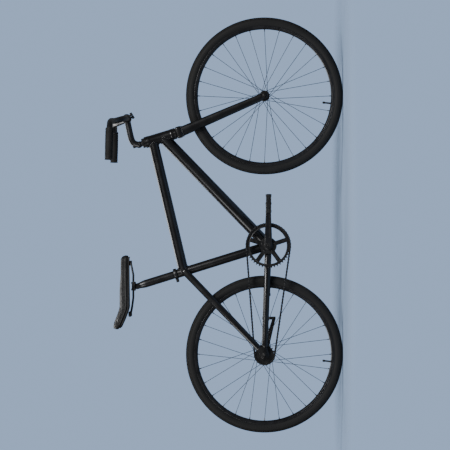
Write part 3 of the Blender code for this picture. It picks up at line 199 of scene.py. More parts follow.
def toothed_steel(name, centre, radius):
    """Blackened steel that the chain has rubbed bright towards the tips of the teeth."""
    steel = grained(name, **STEEL_LOOK)
    tree = steel.node_tree
    shift = node(tree, "ShaderNodeVectorMath", operation="SUBTRACT", inputs={1: centre})
    in_plane = node(tree, "ShaderNodeVectorMath", operation="MULTIPLY",
                    inputs={1: (1.0, 0.0, 1.0)})
    reach = node(tree, "ShaderNodeVectorMath", operation="LENGTH")
    rubbed = node(tree, "ShaderNodeMapRange", interpolation_type="SMOOTHSTEP",
                  inputs={"From Min": radius - 0.0045, "From Max": radius + 0.0010,
                          "To Max": 0.85})
    mottle = node(tree, "ShaderNodeTexNoise", inputs={"Scale": 420.0, "Detail": 4.0})
    share = node(tree, "ShaderNodeMath", operation="MULTIPLY")
    mix = node(tree, "ShaderNodeMix", data_type="RGBA",
               inputs={B_COLOUR: (0.10, 0.098, 0.095, 1)})
    place = found(tree, "TEX_COORD")
    wire(tree, (place, "Object", shift, 0), (place, "Object", mottle, "Vector"),
         (shift, "Vector", in_plane, 0), (in_plane, "Vector", reach, 0),
         (reach, "Value", rubbed, "Value"), (rubbed, "Result", share, 0), (mottle, "Fac", share, 1),
         (share, "Value", mix, "Factor"), (found(tree, "VALTORGB"), "Color", mix, A_COLOUR),
         (mix, MIXED_COLOUR, tree.nodes["Principled BSDF"], "Base Color"))
    return steel


print("finishes so far", len(bpy.data.materials))

# %% [markdown]
# A tyre is one rubber, with a sidewall whose cords show through as fine ribs. The mesh carries a UV
# map that runs round the wheel and across the section, so the ribs can be waves of it that follow
# the wheel however it turns.

# %% Tyre rubber with fine moulded ribs
TYRE_RUBBER = grained("tyre_rubber", (0.0030, 0.0030, 0.0030), (0.0085, 0.0083, 0.0080),
                      (0.66, 0.84), 0.0, 14.0, 1100.0, 0.00009, Specular_IOR_Level=0.26,
                      Sheen_Weight=0.03, Sheen_Roughness=0.6)
tree = TYRE_RUBBER.node_tree
surface = node(tree, "ShaderNodeUVMap", uv_map="UVMap")
ribs = node(tree, "ShaderNodeTexWave", wave_type="BANDS", bands_direction="X",
            inputs={"Scale": 62.0, "Distortion": 0.0, "Detail": 0.0})
rib_skin = node(tree, "ShaderNodeBump", inputs={"Strength": 0.5, "Distance": 0.00016})
wire(tree, (surface, "UV", ribs, "Vector"), (ribs, "Fac", rib_skin, "Height"),
     (rib_skin, "Normal", found(tree, "BUMP"), "Normal"))

# %% [markdown]
# Saddle vinyl copies leather: rounded cells with creases between them. A Voronoi texture gives
# the distance to each cell's edge, and a gentle noise bends the cells so that they never line up.

# %% Grained vinyl for the saddle
VINYL = grained("saddle_vinyl", (0.0022, 0.0022, 0.0026), (0.0056, 0.0056, 0.0060), (0.44, 0.56),
                0.0, 22.0, 2600.0, 0.00004, Specular_IOR_Level=0.24)
tree = VINYL.node_tree
skin, place = found(tree, "BUMP"), found(tree, "TEX_COORD")
bend = node(tree, "ShaderNodeTexNoise", inputs={"Scale": 160.0, "Detail": 2.0})
bent = node(tree, "ShaderNodeVectorMath", operation="MULTIPLY_ADD",
            inputs={1: (0.0022, 0.0022, 0.0022)})
cells = node(tree, "ShaderNodeTexVoronoi", feature="DISTANCE_TO_EDGE", inputs={"Scale": 620.0})
crease = node(tree, "ShaderNodeMapRange", inputs={"From Min": 0.0, "From Max": 0.22})
grain = node(tree, "ShaderNodeBump", inputs={"Strength": 0.6, "Distance": 0.00018})
wire(tree, (place, "Object", bend, "Vector"), (bend, "Color", bent, 0), (place, "Object", bent, 2),
     (bent, "Vector", cells, "Vector"), (cells, "Distance", crease, "Value"),
     (crease, "Result", grain, "Height"), (grain, "Normal", skin, "Normal"))

# %% [markdown]
# ## Mesh helpers
#
# Four ways of making cover most of a bicycle: turn a profile round an axis, sweep an oval along
# a path, cut a flat plate from an outline, and copy a small thing many times. Each helper makes
# a mesh whose place is already in its points, so its object can stay at the origin.

# %% Frames of reference and finished objects
def mm(*pairs):
    """A profile whose measures were given in millimetres."""
    return [(a / 1000, b / 1000) for a, b in pairs]


def aim(origin, direction):
    """A matrix that turns +Z to the direction and keeps +Y as near to the left as it can."""
    z = Vector(direction).normalized()
    x = (UPWARD if abs(z.y) > 0.999 else LATERAL).cross(z).normalized()
    return Matrix.Translation(origin) @ Matrix((x, z.cross(x), z)).transposed().to_4x4()


def shown(name, data):
    obj = bpy.data.objects.new(name, data)
    bpy.context.scene.collection.objects.link(obj)
    return obj


def smoothed(name, mesh, sharp):
    """An object of the mesh, smooth but for edges sharper than so many degrees."""
    mesh.shade_smooth()
    mesh.set_sharp_from_angle(angle=math.radians(sharp))
    return shown(name, mesh)


def mesh_piece(name, bm, material, sharp=35.0):
    """A finished mesh object with outward faces."""
    bmesh.ops.recalc_face_normals(bm, faces=bm.faces)
    mesh = bpy.data.meshes.new(name)
    bm.to_mesh(mesh)
    bm.free()
    mesh.materials.append(material)
    return smoothed(name, mesh, sharp)


def evaluated(obj, material=None, sharp=35.0):
    """The object with its modifiers or curve made a plain mesh and its place put into it."""
    bpy.context.view_layer.update()
    depsgraph = bpy.context.evaluated_depsgraph_get()
    mesh = bpy.data.meshes.new_from_object(obj.evaluated_get(depsgraph))
    mesh.transform(obj.matrix_world)
    name = obj.name
    bpy.data.objects.remove(obj)
    if material is not None:
        mesh.materials.clear()
        mesh.materials.append(material)
    return smoothed(name, mesh, sharp)


def merged(name, pieces):
    """Several pieces of one finish as one object."""
    bm = bmesh.new()
    material = pieces[0].data.materials[0]
    for piece in pieces:
        bm.from_mesh(piece.data)
        bpy.data.objects.remove(piece)
    mesh = bpy.data.meshes.new(name)
    bm.to_mesh(mesh)
    bm.free()
    mesh.materials.append(material)
    return shown(name, mesh)


def fit(piece, body, *nodes, slot=None):
    """Puts the piece on its body and hides the solids that it stands for. The slot is not used.

    A piece named after its solid, such as top_tube_dressed, stands for that one.
    """
    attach(piece, body)
    if piece.name.endswith("_dressed"):
        nodes = nodes or [piece.name.removesuffix("_dressed")]
    if nodes:
        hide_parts(*nodes)
    return piece


# %% Rounding the corners of a profile
def eased(points, radius, steps=3, closed=True):
    """The polygon with each corner turned into a short curve that starts radius away from it."""
    points = [Vector(p) for p in points]
    made = []
    for index, corner in enumerate(points):
        if not closed and index in (0, len(points) - 1):
            made.append(corner)
            continue
        before = points[index - 1] - corner
        after = points[(index + 1) % len(points)] - corner
        reach = min(radius, before.length * 0.45, after.length * 0.45)
        start = corner + before.normalized() * reach
        end = corner + after.normalized() * reach
        for step in range(steps + 1):
            t = step / steps
            made.append(start * (1 - t) ** 2 + corner * 2 * t * (1 - t) + end * t * t)
    return made


# %% Turning a profile
def turned(name, profile, origin, direction, material, steps=96, ease=0.0, sharp=35.0):
    """(radius, height) pairs turned round the direction. From the axis to the axis it is solid."""
    closed = profile[0][0] > 0
    outline = eased(profile, ease, closed=closed) if ease else [Vector(p) for p in profile]
    place = aim(origin, direction)
    bm = bmesh.new()
    uv = bm.loops.layers.uv.new("UVMap")
    lengths = [0.0]
    for here, there in zip(outline, outline[1:] + outline[:1]):
        lengths.append(lengths[-1] + (there - here).length)
    rows = []
    for step in range(steps):
        angle = FULL_TURN * step / steps
        cosine, sine = math.cos(angle), math.sin(angle)
        rows.append([bm.verts.new(place @ Vector((p.x * cosine, p.x * sine, p.y)))
                     for p in outline])
    for step in range(steps):
        near, far = rows[step], rows[(step + 1) % steps]
        for index in range(len(outline) if closed else len(outline) - 1):
            after = (index + 1) % len(outline)
            corners = ((near[index], step, index), (far[index], step + 1, index),
                       (far[after], step + 1, index + 1), (near[after], step, index + 1))
            face = bm.faces.new([vert for vert, _, _ in corners])
            for loop, (_, turn, along) in zip(face.loops, corners):
                loop[uv].uv = (turn / steps, lengths[along] * 10)
    bmesh.ops.remove_doubles(bm, verts=bm.verts, dist=0.0000005)
    bmesh.ops.delete(bm, geom=[e for e in bm.edges if not e.link_faces], context="EDGES")
    return mesh_piece(name, bm, material, sharp)


# %% Smooth paths and oval tubes
def smooth_path(knots, steps):
    """A smooth curve through the knots, with the given steps between each two."""
    knots = [Vector(k) for k in knots]
    ends = [2 * knots[0] - knots[1]] + knots + [2 * knots[-1] - knots[-2]]
    points = []
    for a, b, c, d in zip(ends, ends[1:], ends[2:], ends[3:]):
        for step in range(steps):
            t = step / steps
            points.append(0.5 * (2 * b + (c - a) * t + (2 * a - 5 * b + 4 * c - d) * t * t
                                 + (3 * b - a - 3 * c + d) * t * t * t))
    return points + [knots[-1]]


def oval(centre, forward, across, wide, high, sides):
    """Points round an oval that faces forward and has its width along across."""
    side = (across - forward * across.dot(forward)).normalized()
    up = forward.cross(side)
    return [centre + side * (wide / 2 * math.cos(a)) + up * (high / 2 * math.sin(a))
            for a in (FULL_TURN * s / sides for s in range(sides))]


def swept(name, path, sizes, material, sides, across=LATERAL, sharp=35.0):
    """An oval tube along a path. sizes gives each point's width along across and its height."""
    bm = bmesh.new()
    uv = bm.loops.layers.uv.new("UVMap")
    rows, runs = [], [0.0]
    for index, point in enumerate(path):
        if index:
            runs.append(runs[-1] + (point - path[index - 1]).length)
        forward = (path[min(index + 1, len(path) - 1)] - path[max(index - 1, 0)]).normalized()
        rows.append([bm.verts.new(p) for p in oval(point, forward, across, *sizes[index], sides)])
    for row in range(len(rows) - 1):
        for s in range(sides):
            t = (s + 1) % sides
            face = bm.faces.new((rows[row][s], rows[row][t], rows[row + 1][t], rows[row + 1][s]))
            corners = ((s, row), (s + 1, row), (s + 1, row + 1), (s, row + 1))
            for loop, (u, v) in zip(face.loops, corners):
                loop[uv].uv = (u / sides, runs[v] * 10)
    bm.faces.new(rows[0])
    bm.faces.new(rows[-1])
    return mesh_piece(name, bm, material, sharp)


def rod(name, start, end, radius, material, sides=32, ease=0.0006):
    """A round bar with softly broken edges."""
    start, end = Vector(start), Vector(end)
    length = (end - start).length
    profile = [(0.0, 0.0), (radius, 0.0), (radius, length), (0.0, length)]
    return turned(name, profile, start, end - start, material, sides, ease)


def drill(centre, line, radius, sides=48, back=0.1, ahead=0.1):
    """A plain bar through the centre, for cutting a hole."""
    line = Vector(line).normalized()
    return rod("drill", centre - line * back, centre + line * ahead, radius, BLACK_STEEL, sides, 0)


# %% Flat plates with rounded edges
def arc(centre, radius, start, end, steps):
    return [Vector((centre[0] + radius * math.cos(a), centre[1] + radius * math.sin(a)))
            for a in (start + (end - start) * s / steps for s in range(steps + 1))]


def circle(centre, radius, sides=48):
    return arc(centre, radius, 0, FULL_TURN, sides)[:-1]


def hull(points):
    """The outline that a tight band round the points would take."""
    points = sorted({(round(p[0], 7), round(p[1], 7)) for p in points})

    def half(row):
        kept = []
        for p in row:
            while len(kept) > 1 and ((kept[-1][0] - kept[-2][0]) * (p[1] - kept[-2][1])
                                     - (kept[-1][1] - kept[-2][1]) * (p[0] - kept[-2][0])) <= 0:
                kept.pop()
            kept.append(p)
        return kept[:-1]

    return half(points) + half(points[::-1])


def plate(name, loops, thickness, plane, material, edge, place=None):
    """A flat plate in the X and Z directions whose first loop is its edge and the others holes."""
    data = bpy.data.curves.new(name, "CURVE")
    data.dimensions = "2D"
    data.fill_mode = "BOTH"
    data.extrude = thickness / 2 - edge
    data.bevel_depth = edge
    data.bevel_resolution = 1
    data.offset = -edge
    for loop in loops:
        spline = data.splines.new("POLY")
        spline.points.add(len(loop) - 1)
        spline.use_cyclic_u = True
        for target, point in zip(spline.points, loop):
            target.co = (point[0], point[1], 0, 1)
    obj = shown(name, data)
    upright = Matrix.Translation((0, plane, 0)) @ Matrix.Rotation(math.pi / 2, 4, "X")
    obj.matrix_world = upright if place is None else place
    return evaluated(obj, material)


def flat(point):
    return (point.x, point.z)


# %% Blocks, and cutting one piece by another
def block(name, size, place, material, edge, segments=2):
    """A block with rounded edges, at a point or along the axes of a matrix."""
    if isinstance(place, Vector):
        place = Matrix.Translation(place)
    bm = bmesh.new()
    bmesh.ops.create_cube(bm, size=1, matrix=place @ Matrix.Diagonal((*size, 1)))
    bmesh.ops.bevel(bm, geom=bm.edges[:], offset=edge, segments=segments, profile=0.5,
                    affect="EDGES")
    return mesh_piece(name, bm, material)


def cut_by(piece, *cutters, how="DIFFERENCE"):
    """Takes the cutters' shapes out of the piece, or keeps only what they share with it."""
    for cutter in cutters:
        boolean = piece.modifiers.new("Cut", "BOOLEAN")
        boolean.operation = how
        boolean.solver = "EXACT"
        boolean.object = cutter
    made = evaluated(piece)
    for cutter in cutters:
        bpy.data.objects.remove(cutter)
    bm = bmesh.new()
    bm.from_mesh(made.data)
    bmesh.ops.delete(bm, geom=[v for v in bm.verts if not v.link_faces], context="VERTS")
    if any(e.is_boundary for e in bm.edges):
        bmesh.ops.remove_doubles(bm, verts=bm.verts, dist=0.0000002)
        bmesh.ops.holes_fill(bm, edges=[e for e in bm.edges if e.is_boundary])
        bmesh.ops.recalc_face_normals(bm, faces=bm.faces)
    bm.to_mesh(made.data)
    bm.free()
    return made


print("helpers are ready")

# %% [markdown]
# ## Trees for what repeats
#
# A bicycle is full of things that come many times: spokes, nipples, tread blocks, links, ribs,
# stitches and the ripples of a weld. Three small Geometry Nodes trees place them all. One turns
# copies round an axis, one sets copies in a row along a line, and one sets copies on points that
# say how far each is turned. Building the trees in code keeps their sizes as named inputs.

# %% Making a tree and running it
def new_tree(name, **inputs):
    """A modifier tree with named inputs whose last nodes make the copies real, in one finish."""
    tree = bpy.data.node_groups.new(name, "GeometryNodeTree")
    face = tree.interface
    face.new_socket(name="Geometry", in_out="INPUT", socket_type="NodeSocketGeometry")
    for title, kind in {**inputs, "Finish": "Material"}.items():
        face.new_socket(name=title, in_out="INPUT", socket_type=f"NodeSocket{kind}")
    face.new_socket(name="Geometry", in_out="OUTPUT", socket_type="NodeSocketGeometry")
    given = node(tree, "NodeGroupInput")
    copies = node(tree, "GeometryNodeInstanceOnPoints")
    real = node(tree, "GeometryNodeRealizeInstances")
    dressed = node(tree, "GeometryNodeSetMaterial")
    wire(tree, (copies, "Instances", real, "Geometry"), (real, "Geometry", dressed, "Geometry"),
         (given, "Finish", dressed, "Material"),
         (dressed, "Geometry", node(tree, "NodeGroupOutput"), "Geometry"))
    return tree, given, copies


def grown(obj, tree, material, sharp=35.0, **values):
    """Runs the tree on the object and keeps the plain mesh that it makes."""
    modifier = obj.modifiers.new("Grow", "NODES")
    modifier.node_group = tree
    values["Finish"] = material
    for socket in tree.interface.items_tree:
        if socket.in_out == "INPUT" and socket.name in values:
            modifier[socket.identifier] = values[socket.name]
    return evaluated(obj, material, sharp)


# %% Copies turned round an axis
RING, given, copies = new_tree("ring_of_copies", Count="Int", Centre="Vector", Axis="Vector")
back = node(RING, "ShaderNodeVectorMath", operation="SCALE", inputs={"Scale": -1.0})
moved = node(RING, "GeometryNodeTransform")
points = node(RING, "GeometryNodePoints")
share = node(RING, "ShaderNodeMath", operation="DIVIDE")
angle = node(RING, "ShaderNodeMath", operation="MULTIPLY", inputs={1: FULL_TURN})
turn = node(RING, "FunctionNodeAxisAngleToRotation")
wire(RING, (given, "Centre", back, 0), (given, "Geometry", moved, "Geometry"),
     (back, "Vector", moved, "Translation"), (given, "Count", points, "Count"),
     (given, "Centre", points, "Position"),
     (node(RING, "GeometryNodeInputIndex"), "Index", share, 0), (given, "Count", share, 1),
     (share, "Value", angle, 0), (given, "Axis", turn, "Axis"), (angle, "Value", turn, "Angle"),
     (points, 0, copies, "Points"), (moved, "Geometry", copies, "Instance"),
     (turn, "Rotation", copies, "Rotation"))


def ringed(item, count, centre, axis, sharp=35.0):
    """The item, made at its own place, and its copies turned evenly round the axis."""
    return grown(item, RING, item.data.materials[0], sharp, Count=count, Centre=centre, Axis=axis)


# %% Copies in a row along a line
ROW, given, copies = new_tree("row_along_a_line", Item="Object", Spacing="Float")
line = node(ROW, "GeometryNodeMeshToCurve")
points = node(ROW, "GeometryNodeCurveToPoints", mode="LENGTH")
item = node(ROW, "GeometryNodeObjectInfo")
wire(ROW, (given, "Geometry", line, "Mesh"), (line, "Curve", points, "Curve"),
     (given, "Spacing", points, "Length"), (given, "Item", item, "Object"),
     (points, "Points", copies, "Points"), (points, "Rotation", copies, "Rotation"),
     (item, "Geometry", copies, "Instance"))


def rowed(name, paths, item, spacing, closed=False, sharp=35.0):
    """Copies of the item, made at the origin with +Z along the line, set along the paths."""
    verts, edges = [], []
    for path in paths:
        first = len(verts)
        verts += [tuple(p) for p in path]
        edges += [(first + i, first + i + 1) for i in range(len(path) - 1)]
        if closed:
            edges.append((len(verts) - 1, first))
    mesh = bpy.data.meshes.new(name)
    mesh.from_pydata(verts, edges, [])
    made = grown(shown(name, mesh), ROW, item.data.materials[0], sharp, Item=item, Spacing=spacing)
    bpy.data.objects.remove(item)
    return made


# %% Copies on points that say how far each is turned
LINKS, given, copies = new_tree("links_on_points", Item="Object", Parity="Int")
points = node(LINKS, "GeometryNodeMeshToPoints")
pair = node(LINKS, "ShaderNodeMath", operation="MODULO", inputs={1: 2.0})
chosen = node(LINKS, "FunctionNodeCompare", data_type="FLOAT", operation="EQUAL")
turn = node(LINKS, "GeometryNodeInputNamedAttribute", data_type="FLOAT", inputs={"Name": "turn"})
euler = node(LINKS, "ShaderNodeCombineXYZ")
rotation = node(LINKS, "FunctionNodeEulerToRotation")
item = node(LINKS, "GeometryNodeObjectInfo")
wire(LINKS, (given, "Geometry", points, "Mesh"),
     (node(LINKS, "GeometryNodeInputIndex"), "Index", pair, 0), (pair, "Value", chosen, 0),
     (given, "Parity", chosen, 1), (turn, "Attribute", euler, "Y"),
     (euler, "Vector", rotation, "Euler"), (given, "Item", item, "Object"),
     (points, "Points", copies, "Points"), (chosen, "Result", copies, "Selection"),
     (rotation, "Rotation", copies, "Rotation"), (item, "Geometry", copies, "Instance"))


def strewn(name, spots, turns, item, parity):
    """Copies of the item on every second spot, each turned about the sideways axis."""
    mesh = bpy.data.meshes.new(name)
    mesh.from_pydata([tuple(spot) for spot in spots], [], [])
    mesh.attributes.new("turn", "FLOAT", "POINT").data.foreach_set("value", turns)
    return grown(shown(name, mesh), LINKS, item.data.materials[0], Item=item, Parity=parity)


print("trees", [tree.name for tree in bpy.data.node_groups])

# %% [markdown]
# ## The frame
#
# The main triangle is three round tubes and a head tube, welded. Real tubes are mitred: each is
# cut to the curve of the tube that it meets, so the same is done here with a Boolean, and nothing
# pokes into the head tube where the steerer turns. The head tube is turned, with slightly thicker
# bands where the headset cups are pressed in.

# %% Tube sizes
SEAT_TUBE_LENGTH = 0.400
SEAT_CLUSTER = 0.359
SEAT_TUBE_RADIUS = 0.018
SEAT_TUBE_BORE = 0.0161
HEAD_TUBE_BOTTOM, HEAD_TUBE_TOP = 0.398, 0.512
HEAD_TUBE_RADIUS = 0.023
HEAD_WAIST_RADIUS = 0.0222
HEAD_TUBE_BORE = 0.0205
TOP_TUBE_RADIUS = 0.020
DOWN_TUBE_RADIUS = 0.023
SHELL_RADIUS = 0.024
SHELL_BORE = 0.018
SHELL_WIDTH = 0.068
HEAD_AT_TOP_TUBE = steer_point(HEAD_TUBE_BOTTOM + 0.089)
HEAD_AT_DOWN_TUBE = steer_point(HEAD_TUBE_BOTTOM + 0.045)
STAY_PLANE = 0.063
STAY_END = 0.036
MITRE_SINK = 0.0005

# %% Mitred tubes
HEAD_MAIN = (steer_point(0.455), STEER_LINE, HEAD_WAIST_RADIUS)
SEAT_MAIN = (seat_point(SEAT_CLUSTER), SEAT_LINE, SEAT_TUBE_RADIUS)
SEAT_FOOT_MAIN = (seat_point(0.05), SEAT_LINE, SEAT_TUBE_RADIUS)
SHELL_MAIN = (CRANK_AXIS, LATERAL, SHELL_RADIUS)


def mitred(tube, *mains):
    """The tube cut to the curve of each tube that it meets, given as (point, line, radius)."""
    return cut_by(tube, *[drill(point, line, radius - MITRE_SINK, 72, 0.14, 0.14)
                          for point, line, radius in mains])


for name, start, end, radius, mains in (
        ("top_tube", seat_point(SEAT_CLUSTER), HEAD_AT_TOP_TUBE, TOP_TUBE_RADIUS,
         (HEAD_MAIN, SEAT_MAIN)),
        ("down_tube", CRANK_AXIS, HEAD_AT_DOWN_TUBE, DOWN_TUBE_RADIUS,
         (HEAD_MAIN, SHELL_MAIN, SEAT_FOOT_MAIN))):
    tube = mitred(rod(f"{name}_dressed", start, end, radius, POWDER_COAT, 72, 0), *mains)
    fit(tube, "frame")
    print(name, len(tube.data.polygons))
band = [(HEAD_TUBE_BORE, 0.0), (HEAD_TUBE_RADIUS, 0.0), (HEAD_TUBE_RADIUS, 0.011),
        (HEAD_WAIST_RADIUS, 0.013)]
fit(turned("head_tube_dressed", [(r, HEAD_TUBE_BOTTOM + y) for r, y in band]
           + [(r, HEAD_TUBE_TOP - y) for r, y in band[::-1]], STEER_FOOT, STEER_LINE, POWDER_COAT,
           96, 0.0005), "frame")

# %% [markdown]
# The seat tube is split at its top so that a collar can squeeze it on the post. A thin slot with
# a round hole at its foot stops the tube from tearing. The collar is a ring with two ears and a
# socket-head bolt through them, and it faces backwards like the slot.

# %% Seat tube with its slot, and the bottom bracket shell
def pipe(name, bore, radius, start, end, origin, line, ease, steps=96):
    profile = [(bore, start), (radius, start), (radius, end), (bore, end)]
    return turned(name, profile, origin, line, POWDER_COAT, steps, ease)


slot_place = aim(seat_point(SEAT_TUBE_LENGTH - 0.012) + SEAT_BACK * 0.018, SEAT_LINE)
slot_foot = seat_point(SEAT_TUBE_LENGTH - 0.029)
seat_tube = cut_by(
    pipe("seat_tube_dressed", SEAT_TUBE_BORE, SEAT_TUBE_RADIUS, 0.010, SEAT_TUBE_LENGTH,
         CRANK_AXIS, SEAT_LINE, 0.0004),
    drill(CRANK_AXIS, LATERAL, SHELL_RADIUS - MITRE_SINK, 72),
    block("slot", (0.020, 0.0022, 0.032), slot_place, POWDER_COAT, 0.0001, 1),
    rod("slot_foot", slot_foot + SEAT_BACK * 0.008, slot_foot + SEAT_BACK * 0.028, 0.0022,
        POWDER_COAT, 24, 0))
fit(seat_tube, "frame")
fit(pipe("bottom_bracket_shell_dressed", SHELL_BORE, SHELL_RADIUS, -SHELL_WIDTH / 2,
         SHELL_WIDTH / 2, CRANK_AXIS, LATERAL, 0.0007), "frame")
print("seat tube", len(seat_tube.data.polygons))

# %% [markdown]
# Chain stays and seat stays are oval tubes that taper backwards. Each follows a smooth path, with
# a width and a height for every point of it. The chain stays bow outwards to pass the tyre on the
# inside and the chainring on the outside. Their back ends are rounded shut round the dropouts.

# %% Oval tubes that taper
def tapered(path_knots, steps, wide, high, shares):
    """A smooth path and its sizes, shares giving how much of the full size each knot keeps."""
    path = smooth_path(path_knots, steps)
    sizes = []
    for index in range(len(path)):
        at = index / steps
        low = min(int(at), len(shares) - 2)
        share = shares[low] + (shares[low + 1] - shares[low]) * (at - low)
        sizes.append((wide * share, high * share))
    return path, sizes


def domed(path, sizes, length, steps=7):
    """The path and sizes with a rounded end."""
    tip, forward = path[-1], (path[-1] - path[-2]).normalized()
    wide, high = sizes[-1]
    for step in range(1, steps + 1):
        a = math.pi / 2 * step / steps
        path.append(tip + forward * length * math.sin(a))
        sizes.append((wide * max(math.cos(a), 0.02), high * max(math.cos(a), 0.02)))
    return path, sizes


# %% Chain stays and seat stays
CHAIN_STAY_SPREAD = [(0.0, 0.38), (0.18, 0.50), (0.32, 0.59), (0.52, 0.735), (0.78, 0.90),
                     (0.94, 1.0), (1.0, 1.0)]
CHAIN_STAY_SIZE, CHAIN_STAY_TAPER = (0.016, 0.026), [1.0, 1.0, 1.0, 0.97, 0.92, 0.88, 0.86]
SEAT_STAY_SIZE, SEAT_STAY_TAPER = (0.014, 0.028), [1.0, 0.90, 0.76]


def chain_stay_knots(side):
    end = REAR_AXLE + Vector((STAY_END, 0, -STAY_END * 0.034))
    return [Vector((CRANK_AXIS.x + (end.x - CRANK_AXIS.x) * run, side * STAY_PLANE * wide,
                    CRANK_AXIS.z + (end.z - CRANK_AXIS.z) * run))
            for run, wide in CHAIN_STAY_SPREAD]


def seat_stay_knots(side):
    top = seat_point(SEAT_CLUSTER - 0.004) + LATERAL * side * 0.0195
    bottom = REAR_AXLE + LATERAL * side * STAY_PLANE
    bottom -= (bottom - top).normalized() * STAY_END
    knee = top.lerp(bottom, 0.60)
    knee.y = side * 0.054
    return [top, knee, bottom]


for word, side in SIDES.items():
    path, sizes = tapered(chain_stay_knots(side), 8, *CHAIN_STAY_SIZE, CHAIN_STAY_TAPER)
    stay = swept(f"chain_stay_{word}_dressed", *domed(path, sizes, 0.009), POWDER_COAT, 40)
    fit(mitred(stay, SHELL_MAIN, SEAT_MAIN), "frame")
    path, sizes = domed(*tapered(seat_stay_knots(side), 16, *SEAT_STAY_SIZE, SEAT_STAY_TAPER),
                        0.009)
    path, sizes = domed(path[::-1], sizes[::-1], 0.010)
    stay = swept(f"seat_stay_{word}_dressed", path, sizes, POWDER_COAT, 40)
    fit(mitred(stay, SEAT_MAIN), "frame")
print("stays done")

# %% [markdown]
# Two bridges tie the stays together. The one between the chain stays is a flat plate with a hole
# for a stand's bolt, and the one between the seat stays is a thin tube just above the tyre. The
# dropouts are thick plates cut to a rounded outline, with a slot that the axle slides into.

# %% Bridges
bridge_centre = CRANK_AXIS - FORWARD * 0.086
bridge = block("chain_stay_bridge_dressed", (0.032, 0.066, 0.005), bridge_centre, POWDER_COAT,
               0.0009)
fit(cut_by(bridge, drill(bridge_centre, UPWARD, 0.005, 48, 0.01, 0.01)), "frame")
TYRE_CLEAR = 0.341
brace_end = min(smooth_path(seat_stay_knots(1), 40),
                key=lambda p: abs((Vector((p.x, 0, p.z)) - REAR_AXLE).length - TYRE_CLEAR))
brace_middle = Vector((brace_end.x, 0, brace_end.z))
brace = rod("seat_stay_bridge", 2 * brace_middle - brace_end, brace_end, 0.0065, POWDER_COAT, 40)
boss = pipe("boss", 0.0026, 0.0056, -0.0075, 0.0075, brace_middle, REAR_AXLE - brace_middle,
            0.0006, 40)
fit(merged("seat_stay_bridge", [brace, boss]), "frame")
print("bridge to axle", round((brace_middle - REAR_AXLE).length, 4))

# %% Dropouts
DROPOUT_RADIUS, LOBE_RADIUS = 0.018, 0.0105
AXLE_BORE, SLOT_LENGTH = 0.0053, 0.036
lobe_reach = STAY_END - LOBE_RADIUS - 0.0010
stay_line = (seat_point(SEAT_CLUSTER) - REAR_AXLE).normalized()
edge = hull(circle(flat(REAR_AXLE), DROPOUT_RADIUS, 64)
            + circle(flat(REAR_AXLE + FORWARD * lobe_reach), LOBE_RADIUS)
            + circle(flat(REAR_AXLE + stay_line * lobe_reach), LOBE_RADIUS))
for word, side in SIDES.items():
    dropout = plate(f"dropout_{word}_dressed", [edge], 0.006, side * STAY_PLANE, POWDER_COAT,
                    0.0007)
    slot = block("slot", (SLOT_LENGTH, 0.2, 0.0103), REAR_AXLE - FORWARD * SLOT_LENGTH / 2,
                 POWDER_COAT, 0.0001, 1)
    fit(cut_by(dropout, drill(REAR_AXLE, LATERAL, AXLE_BORE), slot), "frame")

# %% [markdown]
# ## Weld beads
#
# A welded joint shows a bead of small overlapping ripples, like a row of fallen coins. The line
# where a tube leaves the bigger one is worked out exactly: along each straight line of the
# tube's wall, the far crossing with the main cylinder is the place of the weld. A stay lies
# against the seat tube's side, so there each ring of its wall is searched for its crossings. The
# row tree then sets a flattened ball every 1.3 mm along those lines.

# %% Where one tube leaves another
WELD_LIFT = 0.0004
SEAM_STEPS, SIDE_SEAM_STEPS = 120, 180


def seam(main, start, end, wide, high):
    """The closed line where an oval tube from start to end leaves the main tube's surface."""
    point, line, radius = main
    forward = (end - start).normalized()
    run = forward - line * forward.dot(line)
    made = []
    for out in oval(Vector(), forward, LATERAL, wide, high, SEAM_STEPS):
        base = start + out - point
        base -= line * base.dot(line)
        a, b, c = run.dot(run), base.dot(run), base.dot(base) - radius**2
        made.append(start + out + forward * ((-b + math.sqrt(max(b * b - a * c, 0))) / a)
                    + out.normalized() * WELD_LIFT)
    return made


# %% Where a stay lies against the side of the seat tube
def side_seam(main, path, sizes):
    """The closed line where a tapering oval tube along the path crosses the main tube's surface."""
    point, line, radius = main
    above, below = [], []
    for here, there, size in zip(path, path[1:], sizes):
        ring = oval(here, (there - here).normalized(), LATERAL, *size, SIDE_SEAM_STEPS)
        gaps = []
        for spot in ring:
            out = spot - point
            gaps.append((out - line * out.dot(line)).length - radius - WELD_LIFT)
        for step in range(SIDE_SEAM_STEPS):
            if gaps[step - 1] * gaps[step] < 0:
                share = gaps[step - 1] / (gaps[step - 1] - gaps[step])
                half = above if 0 < step <= SIDE_SEAM_STEPS // 2 else below
                half.append(ring[step - 1].lerp(ring[step], share))
    return above + below[::-1]


# %% Weld beads on the frame
def ball(name, segments, size, material):
    """A small round bead of the given half lengths, at the origin."""
    bm = bmesh.new()
    bmesh.ops.create_uvsphere(bm, u_segments=segments, v_segments=6, radius=1,
                              matrix=Matrix.Diagonal((*size, 1)))
    return mesh_piece(name, bm, material, 80)


def weld(name, seams, body, size, spacing):
    ripple = ball("weld_ripple", 10, (size, size, size * 0.75), POWDER_COAT)
    beads = fit(rowed(name, seams, ripple, spacing, closed=True, sharp=80), body)
    print(name, len(seams), "seams,", len(beads.data.polygons), "faces")


